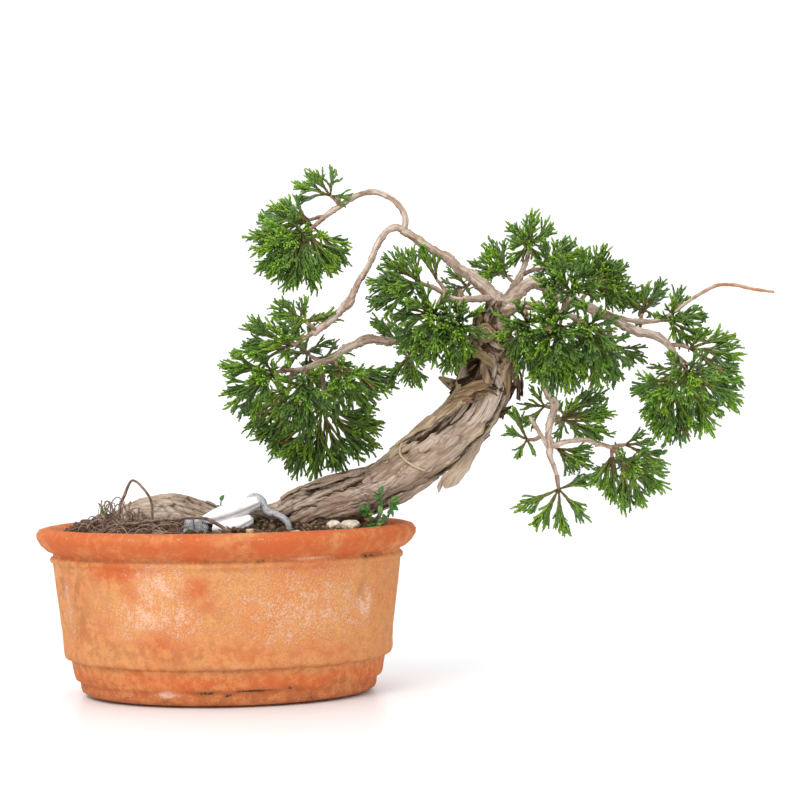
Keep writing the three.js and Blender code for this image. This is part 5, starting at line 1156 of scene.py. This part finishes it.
def add_flap(parts):
    """A long tongue of bark that leaves the trunk as it goes down, and ends ragged and curled."""
    left, run = spline(FLAP_LEFT, 0.9)
    right = spline(FLAP_RIGHT, 0.9)[0]
    pick = np.linspace(0, len(right) - 1, len(left))
    right = np.stack([np.interp(pick, np.arange(len(right)), column) for column in right.T], 1)
    t = np.linspace(0, 1, 26)[None, :, None]
    down = np.linspace(0, 1, len(left))[:, None]
    places = left[:, None] * (1 - t) + right[:, None] * t
    across = t[..., 0] * np.linalg.norm(right - left, axis=1)[:, None]
    edges = np.abs(2 * t[..., 0] - 1) ** 5
    proud, light = peeled(across, run[:, None], 76)
    ragged = fractal(np.stack(np.broadcast_arrays(across / 6, 0.0, 0.0), -1), 3, 77)
    corner = np.exp(-(((t[..., 0] - 0.12) / 0.12) ** 2)) - 0.9 * np.exp(-(((t[..., 0] - 0.36) / 0.10) ** 2))
    places[..., 2] += step_between(0.72, 1, down) * (4.5 * ragged + 1.0 * edges - 3.0 * corner)
    places[..., 0] += edges * np.sign(t[..., 0] - 0.5) * 1.2 * noise(places / 3.5, 78)
    light = 0.6 + 0.45 * (light - 0.5)
    places[..., 1] += -1.3 * np.sin(math.pi * t[..., 0]) - 0.6 * proud - 2.2 * step_between(0.82, 1,
        down) * (1 - t[..., 0])
    paler = blend_rgb((0.56, 0.44, 0.32), (0.74, 0.62, 0.50), t[..., 0] + 0 * down)
    tint = blend_rgb((0.36, 0.25, 0.17), paler, light)
    # Painted shade: the flap's underside and edges are near black where it hangs off the trunk.
    add_sheet(parts, places[:, ::-1], places[:, ::-1] + [0, FLAP_THICKNESS, 0], tint[:, ::-1], BARK_DARK,
        across[:, ::-1], run[:, None])


def add_scar(parts):
    """A healed knot: a swollen ring round a sunken, ochre heart."""
    sides, radius = 40, SCAR["radius"]
    outline = [(radius * 1.16, 6), (radius * 1.14, 0.8), (radius * 1.04, -0.5), (radius * 0.92, -0.9),
        (radius * 0.84, -0.2),
        (radius * 0.76, -0.7), (radius * 0.62, -0.8), (radius * 0.54, 0.1), (radius * 0.44, 0.0),
        (radius * 0.20, 0.2)]
    turn = 2 * math.pi * np.arange(sides) / sides
    rows = np.array([[r * np.cos(turn), depth + 0 * turn, r * np.sin(turn)] for r,
        depth in outline]).transpose(0, 2, 1)
    rows = rows * (1 + 0.16 * noise(rows / 5, 80)[..., None]) + 0.45 * noise(rows / 1.4, 81)[..., None]
    heart = [[0, 0.3, 0]]
    points = np.vstack([rows.reshape(-1, 3), heart]) + [SCAR["x"], SCAR["y"], SCAR["z"]]
    k = np.arange(sides)
    last = len(outline) - 1
    cap = np.stack([last * sides + (k + 1) % sides, np.full(sides, len(points) - 1), last * sides + k],
        1)[:, ::-1]
    ring_share = np.repeat(np.array([0, 0.1, 0.5, 0.7, 0.1, 0.8, 1.0, 0.25, 0.7, 0.6]), sides)
    tint = blend_rgb((0.15, 0.075, 0.03), (0.58, 0.45, 0.25), np.append(ring_share, 0.45))
    parts.add(points, grid_faces(len(outline), sides), cap[:, ::-1], tint)


# Foliage

GREEN_OLD = (0.210, 0.245, 0.155)
GREEN_MID = (0.160, 0.275, 0.044)
GREEN_TIP = (0.350, 0.545, 0.028)
GREEN_DRY = (0.38, 0.22, 0.10)


def cords(parts, start, control, end, radius, rings, tint_start, tint_end):
    """Many thin shoots at once, each bending from its start towards its control point and to its end."""
    count = len(start)
    if not count:
        return
    t = np.linspace(0, 1, rings)[None, :, None]
    t = 0.02 + 0.94 * t
    centre, tangent = curve(start[:, None], control[:, None], end[:, None], t)
    guide = np.where(np.abs(tangent[:, :1, 2:]) > 0.8, [[[1.0, 0, 0]]], [[[0, 0, 1.0]]])
    first = unit(np.cross(tangent, guide))
    second = np.cross(tangent, first)
    turn = math.pi / 4 * np.arange(rings)[:, None] + 2 * math.pi * np.arange(CORD_SIDES) / CORD_SIDES
    waist = np.interp(np.linspace(0, 1, rings), [0, 0.55, 0.85, 1], [0.85, 1.0, 0.95, 0.72])
    across = radius[:, None, None, None] * waist[None, :, None, None]
    out = first[:, :, None] * np.cos(turn)[None, ..., None] + second[:, :, None] * np.sin(turn)[None, ...,
        None]
    body = (centre[:, :, None] + out * across).reshape(count, rings * CORD_SIDES, 3)
    points = np.concatenate([body, start[:, None], end[:, None]], 1)
    each = rings * CORD_SIDES + 2
    k = np.arange(CORD_SIDES)
    low = np.stack([np.full(CORD_SIDES, each - 2), (k + 1) % CORD_SIDES, k], 1)
    top = rings * CORD_SIDES - CORD_SIDES
    high = np.stack([np.full(CORD_SIDES, each - 1), top + k, top + (k + 1) % CORD_SIDES], 1)
    shift = (each * np.arange(count))[:, None, None]
    quads = (shift + grid_faces(rings, CORD_SIDES)[None]).reshape(-1, 4)
    triangles = (shift + np.vstack([low, high])[None]).reshape(-1, 3)
    share = np.concatenate([np.repeat(np.linspace(0, 1, rings), CORD_SIDES), [0, 1]])[None, :, None]
    tint = tint_start[:, None] * (1 - share) + tint_end[:, None] * share
    parts.add(points, quads, triangles, tint.reshape(-1, 3))


def around(axis, angle, turn):
    """Directions that lean by an angle from each axis, turned round it."""
    guide = np.where(np.abs(axis[..., 2:]) > 0.9, [[0, 1.0, 0]], [[0, 0, 1.0]])
    first = unit(guide - axis * np.sum(guide * axis, -1, keepdims=True))
    second = np.cross(axis, first)
    out = first * np.cos(turn)[..., None] + second * np.sin(turn)[..., None]
    return axis * np.cos(angle)[..., None] + out * np.sin(angle)[..., None]


def side_growth(random, start, control, end, spacing, first_share, length_of):
    """Shoots along curved stems: their starts, controls, ends and how far out on the stem each stands."""
    lengths = np.linalg.norm(end - start, axis=1)
    counts = np.maximum(1, (lengths * (1 - first_share) / spacing).astype(int))
    stem = np.repeat(np.arange(len(start)), counts)
    place = np.concatenate([np.arange(n) for n in counts])
    share = first_share + (0.97 - first_share) * (place + random.uniform(0.1, 0.9, len(stem))) / counts[stem]
    at, along = curve(start[stem], control[stem], end[stem], share[:, None])
    turn = random.uniform(0, 2 * math.pi, len(start))[stem] + place * 2.3 + random.uniform(-0.4, 0.4,
        len(stem))
    lean = random.uniform(*SHOOT_ANGLE, len(stem))
    towards = around(along, lean, turn)
    length = length_of(lengths[stem] * (1 - share)) * random.uniform(0.75, 1.2, len(stem))
    reach = at + towards * length[:, None]
    bend = at + unit(towards + 0.25 * unit(random.normal(size=at.shape))) * 0.5 * length[:, None]
    reach = reach + along * (0.16 * length)[:, None]
    return at, bend, reach, share, length, stem


def spray_fans(random, hub, fans):
    """The plumes of a spray: where they start, bend and end."""
    starts, controls, ends = [], [], []
    for x, y, z, spread in fans:
        tip = np.array([x, y, z], float)
        whole = np.linalg.norm(tip - hub)
        axis = (tip - hub) / whole
        widest = math.radians(spread)
        count = int(np.clip(round(whole * widest / PLUME_SPACING), 3, MOST_PLUMES))
        k = np.arange(count)
        lean = widest * np.sqrt((k + 0.8) / count)
        out = around(np.broadcast_to(axis, (count, 3)), lean,
            random.uniform(0, 2 * math.pi) + k * GOLDEN_ANGLE)
        far = whole * (1 - 0.22 * (lean / widest) ** 2) * random.uniform(0.84, 1.02, count)
        end = np.vstack([hub + axis * 0.96 * whole, hub + out * far[:, None]])
        share = np.append(0.0, random.uniform(0.02, 0.34, count))
        start = hub + axis * (share * whole)[:, None]
        gap = np.linalg.norm(end - start, axis=1)[:, None]
        starts.append(start)
        controls.append(start + unit(axis + 0.35 * unit(end - start)) * 0.38 * gap)
        ends.append(end)
    return np.vstack(starts), np.vstack(controls), np.vstack(ends)


def add_spray(name, hub, fans, seed, material):
    parts = Parts()
    random = np.random.default_rng(seed)
    start, control, end = spray_fans(random, np.array(hub, float), fans)
    count = len(start)
    mood = random.uniform(-0.25, 0.25, count)
    blue = random.uniform(0, 1, count) ** 2
    pad_light = PAD_LIGHT.get(name[0], 1.0)

    def tinted(share, stem, dry=0.0):
        """Old and dark near the foot of a plume, lime at its tip."""
        value = np.clip(share + mood[stem], 0, 1)
        tint = blend_rgb(GREEN_OLD, GREEN_MID, step_between(0, 0.55, value))
        tint = blend_rgb(tint, GREEN_TIP, step_between(0.72, 1.12, value))
        tint = tint * blend_rgb((1, 1, 1), (0.92, 1.0, 1.4), blue[stem])
        return blend_rgb(pad_light * tint, GREEN_DRY, dry)

    every = np.arange(count)
    lengths = np.linalg.norm(end - start, axis=1)
    low = np.broadcast_to(np.array(TWIG_BROWN) * 0.7, (count, 3))
    cords(parts, start, control, end, 0.75 + 0.008 * lengths, 8, low, tinted(np.full(count, 0.9), every))
    at, bend, reach, share, length, stem = side_growth(
        random, start, control, end, SHOOT_SPACING, FIRST_SHOOT,
        lambda left: np.clip(0.55 * left + 3.4, 4.0, 10.5))
    radius = SHOOT_RADIUS * random.uniform(0.85, 1.1, len(at))
    dry = random.uniform(0, 1, len(at)) < DRY_SHARE
    cords(parts, at, bend, reach, radius, 4, tinted(0.7 * share, stem, dry),
        tinted(0.25 + 0.75 * share, stem, dry))
    long = length > LEAST_WITH_SHOOTLETS
    tip, tip_bend, tip_reach, _, _, parent = side_growth(
        random, at[long], bend[long], reach[long], SHOOTLET_SPACING, FIRST_SHOOTLET,
        lambda left: np.clip(0.5 * left + 2.0, 2.2, 4.4))
    owner = stem[long][parent]
    place = share[long][parent]
    radius = SHOOT_RADIUS * random.uniform(0.75, 1.0, len(tip))
    dry = dry[long][parent]
    cords(parts, tip, tip_bend, tip_reach, radius, 3, tinted(0.65 * place, owner, dry),
        tinted(0.35 + 0.75 * place, owner, dry))
    make("foliage_" + name, parts, material, "spray_" + name)


# Small things on the soil

def wood_relief(angle, along, radius, points, out):
    """Bleached wood: flat faces, a crease, and grey lines along the grain, with painted shade in the crease
    and on the underside.
    """
    grain = grain_place(angle, along, radius)
    lines = fractal(grain / [1.1, 1.1, 30], 2, 91)
    faces = 0.10 * np.cos(3 * angle + 0.8) + 0.05 * np.cos(5 * angle - 0.04 * along)
    crease = np.exp(-((half_turn(angle - 1.9) / 0.16) ** 2))
    # Grey lines along the grain, and painted shade in the crease and on the faces that point down.
    shade = np.clip(0.35 * step_between(0.3, 0.7, lines) + 0.35 * crease + 0.25 * step_between(0.2, -0.9,
        out[..., 2]), 0, 1)
    proud = radius * (faces - 0.16 * crease) + 0.16 * lines + 0.35 * noise(points / 5, 92)
    return proud, blend_rgb((0.93, 0.93, 0.95), (0.42, 0.41, 0.44), shade)


def add_deadwood(material):
    parts = Parts()
    for stations in (DEADWOOD_UPPER, DEADWOOD_LOWER):
        sweep(parts, stations, 48, 0.7, wood_relief)
    make("deadwood_bleached", parts, material, "deadwood")


def wire_relief(angle, along, radius, points, out):
    """Dull metal that is scabby near its free end, where its run begins."""
    scabs = fractal(points / 1.6, 3, 95)
    end = step_between(34, 14, along)
    tint = blend_rgb((1.0, 1.0, 1.0), (0.25, 0.2, 0.2), 0.8 * end * step_between(0, -0.5, scabs))
    return 0.04 * noise(points / 2, 96) + 0.5 * end * scabs, tint


def add_wire(material):
    stations = [list(station) for station in WIRE_ROUTE]
    for i in range(1, WIRE_COIL["steps"] + 1):
        turned = WIRE_COIL["turns"] * i / WIRE_COIL["steps"]
        angle = -2 * math.pi * turned
        stations.append([
            WIRE_COIL["x"] - WIRE_COIL["pitch"] * turned,
            WIRE_COIL["y"] + WIRE_COIL["radius"] * math.cos(angle),
            WIRE_COIL["z"] + WIRE_COIL["radius"] * math.sin(angle), WIRE_RADIUS])
    parts = Parts()
    sweep(parts, stations, 20, 0.7, wire_relief)
    make("wire_bent", parts, material, "wire")


def root_relief(angle, along, radius, points, out):
    rough = fractal(points / 1.5, 2, 101)
    return 0.16 * rough, blend_rgb((0.16, 0.095, 0.07), (0.36, 0.25, 0.19), step_between(-0.5, 0.5, rough))


def add_roots(material):
    for name, stations in ROOTS.items():
        parts = Parts()
        sweep(parts, stations, 12, 0.6, root_relief)
        make(name + "_fine", parts, material, name)


def chipped(corners, seed):
    """How far a chipped stone reaches in each direction, as the planes that cut it allow."""
    random = np.random.default_rng(seed)
    normals = unit(random.normal(size=(15, 3)))
    facing = corners @ normals.T
    reach = np.where(facing > 0.2, random.uniform(0.78, 1.0, 15) / np.maximum(facing, 0.2), 9)
    return np.minimum(reach.min(axis=1), 1.15)


def add_stones(stone_material, bark_material):
    corners, faces = ball(5)
    for name, ((x, y), size) in STONES.items():
        bump = 1 + 0.13 * np.sin(3 * corners[:, 0] + x) * np.cos(4 * corners[:,
            1] + y) + 0.06 * np.sin(5 * corners[:, 2] + x)
        points = corners * bump[:, None] * size
        if name.startswith("pebble_white"):
            points = WHITE_PEBBLE_STRETCH * corners * chipped(corners, 3)[:, None] * size
        turn = 0.05 * x
        points = points @ np.array([[math.cos(turn), math.sin(turn), 0],
            [-math.sin(turn), math.cos(turn), 0], [0, 0, 1]])
        points = points + [x, y, float(soil_height(np.array(x), np.array(y))) + 0.35 * size[2]]
        pebble = name.startswith("pebble")
        rough = fractal(points / (1.5 if pebble else [3, 1.2, 1.2]), 3, 111)
        points = points + corners * (rough * (0.12 if pebble else 0.8))[:, None]
        dark, light = STONE_TINTS[name] if name in STONE_TINTS else (BARK_DARK, BARK_GREY)
        parts = Parts()
        parts.add(points, triangles=faces, tint=blend_rgb(dark, light, step_between(-0.6, 0.5, rough)))
        make(name + "_fine", parts, stone_material if pebble else bark_material,
            name)


STONE_TINTS = {
    "pebble_beige": ((0.42, 0.30, 0.20), (0.68, 0.55, 0.42)),
    "pebble_white_left": ((0.74, 0.62, 0.44), (0.95, 0.90, 0.78)),
    "pebble_white_right": ((0.74, 0.60, 0.42), (0.95, 0.87, 0.74)),
    "pebble_flat": ((0.50, 0.38, 0.28), (0.80, 0.66, 0.52)),
    "pebble_yellow": ((0.55, 0.38, 0.20), (0.80, 0.62, 0.40)),
}


def add_leaf(parts, place, length, lean, turn, tint):
    """An oval leaf with a folded midrib, as a thin closed lens."""
    s = np.linspace(0, 1, 9)[:, None]
    t = np.linspace(-1, 1, 7)[None]
    half = 0.34 * length * np.sin(math.pi * s**0.8) ** 0.75
    fold = 0.30 * np.abs(t) * half - 0.25 * length * s**2
    top, bottom = (np.stack([s * length + 0 * t, half * t, fold + side], -1) for side in (0.2, -0.2))
    cos, sin = math.cos(math.radians(lean)), math.sin(math.radians(lean))
    roll = np.array([[1, 0, 0], [0, math.cos(turn), math.sin(turn)], [0, -math.sin(turn), math.cos(turn)]])
    pitch = np.array([[cos, 0, sin], [0, 1, 0], [-sin, 0, cos]])
    top, bottom = (grid @ roll @ pitch + place for grid in (top, bottom))
    shade = np.abs(t) ** 0.5 + 0 * s
    tints = blend_rgb(1.35 * np.array(tint), tint, shade)
    add_sheet(parts, top, bottom, tints, 0.8 * np.array(tint), t, s)


LEAF_GREENS = [(0.05, 0.15, 0.025), (0.08, 0.22, 0.035), (0.14, 0.30, 0.05), (0.20, 0.12, 0.14)]


def add_weeds(material):
    random = np.random.default_rng(11)
    for name, (stems, leaves) in WEEDS.items():
        parts = Parts()
        for (x, y), tip in stems:
            foot = np.array([x, y, float(soil_height(np.array(x), np.array(y))) - 2])
            middle = (foot + tip) / 2 + [0.4, 0.3, 0]
            sweep(parts, [[*foot, 0.55], [*middle, 0.45], [*tip, 0.35]], 8, 0.8, tint=(0.12, 0.15, 0.045))
            for share in np.linspace(0.2, 1.0, 11 if len(stems) > 1 else 1):
                side = random.uniform(0, 360)
                place = foot + (np.array(tip) - foot) * share
                add_leaf(parts, place, random.uniform(3.6, 5.4), side, random.uniform(0.1, 1.3),
                    LEAF_GREENS[int(side) % 4])
        for k, (x, y, z, length, lean) in enumerate(leaves):
            add_leaf(parts, np.array([x, y, z]), 0.72 * length, lean, 1.0 + 0.2 * (k % 3),
                LEAF_GREENS[k % 3])
        make(name + "_fine", parts, material, name)


# Fine roots and fibres: how many, then the least and most of x, y, length and height, and how much they curl
FIBRES = [(90, (-80, -22), (-44, -14), (10, 30), (1.0, 6.0), 0.45),
    (26, (-68, -46), (-26, -8), (8, 20), (6, 17), 1.0),
    (30, (-50, 20), (-44, -26), (10, 26), (0.6, 2.5), 0.35),
    (18, (-70, 60), (20, 60), (10, 30), (0.4, 2.5), 0.3)]


def add_fibres(material):
    """Thin roots that wander over the soil and loop up out of it."""
    random = np.random.default_rng(21)
    parts = Parts()
    for count, (x_low, x_high), (y_low, y_high), (short, long), (flat, tall), curl in FIBRES:
        for _ in range(count):
            place = np.array([random.uniform(x_low, x_high), random.uniform(y_low, y_high)])
            heading, length = random.uniform(-0.7,
                0.7) + math.pi * random.integers(2), random.uniform(short, long)
            height, steps = random.uniform(flat, tall), 8
            stations = []
            radius = random.uniform(0.22, 0.5)
            for k in range(steps):
                share = k / (steps - 1)
                ground = float(fine_soil_height(place[:1], place[1:])[0])
                rise = height * math.sin(math.pi * share) ** 0.7 - 0.8
                stations.append([*place, ground + rise, radius * (1 - 0.4 * share)])
                heading += random.uniform(-curl, curl) * 1.6
                place = place + length / steps * np.array([math.cos(heading), 0.6 * math.sin(heading)])
            tone = random.uniform(0, 1)
            sweep(parts, stations, 5, 1.3, tint=blend_rgb((0.16, 0.085, 0.06), (0.50, 0.35, 0.28), tone))
    make("root_fibres", parts, material)


# Floor, light and camera. Places and sizes are in metres, and the lens and sensor in millimetres.

CAMERA_PLACE = (0.101916, -1.154856, 0.166877)
CAMERA_ROLL = 0.0153
LENS_LENGTH = 90
SENSOR_WIDTH = 36
SURROUND = 1.15  # strength of the white world
FLOOR_REACH = 6


def add_stage():
    look = Finish("floor", Base_Color=rgb(0.93, 0.95, 0.975), Roughness=0.35, Specular_IOR_Level=0.3)
    mesh = bpy.data.meshes.new("floor")
    corners = [(FLOOR_REACH * x, FLOOR_REACH * y, 0) for x, y in ((-1, -1), (1, -1), (1, 1), (-1, 1))]
    mesh.from_pydata(corners, [], [(0, 1, 2, 3)])
    mesh.materials.append(look.material)
    floor = bpy.data.objects.new("floor", mesh)
    bpy.context.scene.collection.objects.link(floor)


def add_light(name, place, aim, size, power, colour):
    lamp = bpy.data.lights.new(name, "AREA")
    lamp.shape = "DISK"
    lamp.size = size
    lamp.energy = power
    lamp.color = colour
    light = bpy.data.objects.new(name, lamp)
    light.location = place
    light.rotation_euler = (Vector(aim) - Vector(place)).to_track_quat("-Z", "Y").to_euler()
    bpy.context.scene.collection.objects.link(light)


def add_camera():
    lens = bpy.data.cameras.new("camera")
    lens.lens = LENS_LENGTH
    lens.sensor_width = SENSOR_WIDTH
    camera = bpy.data.objects.new("camera", lens)
    camera.location = CAMERA_PLACE
    camera.rotation_euler = (math.pi / 2, CAMERA_ROLL, 0)
    bpy.context.scene.collection.objects.link(camera)
    bpy.context.scene.camera = camera


def add_world():
    world = bpy.data.worlds.new("studio")
    world.use_nodes = True
    world.node_tree.nodes["Background"].inputs["Color"].default_value = rgb(1, 1, 1)
    world.node_tree.nodes["Background"].inputs["Strength"].default_value = SURROUND
    scene = bpy.context.scene
    scene.world = world
    scene.view_settings.view_transform = "Standard"


add_camera()
add_world()
add_light("key", (-0.6, -1.35, 1.5), (0.05, 0, 0.12), 1.1, 17, (1, 0.99, 0.97))
add_stage()
add_pot(terracotta())
add_soil(tinted_look("soil", 0.95, 0.15, 1100, 0.3, 0.5))
bark = bark_look()
add_trunk(bark)
add_deadwood(tinted_look("deadwood", 0.8, 0.2, 260, 0.08, 0.9))
add_wire(wire_look())
root = tinted_look("root", 0.85, 0.2, 800, 0.2, 0.55)
add_roots(root)
add_fibres(root)
add_stones(tinted_look("stone", 0.7, 0.35, 500, 0.12, 0.8), bark)
add_weeds(tinted_look("weed", 0.5, 0.4, 600, 0.08, 0.75))
needles = foliage_look()
for i, (name, (twig, fans)) in enumerate(SPRAYS.items()):
    add_spray(name, twig[-1], fans, 301 + i, needles)
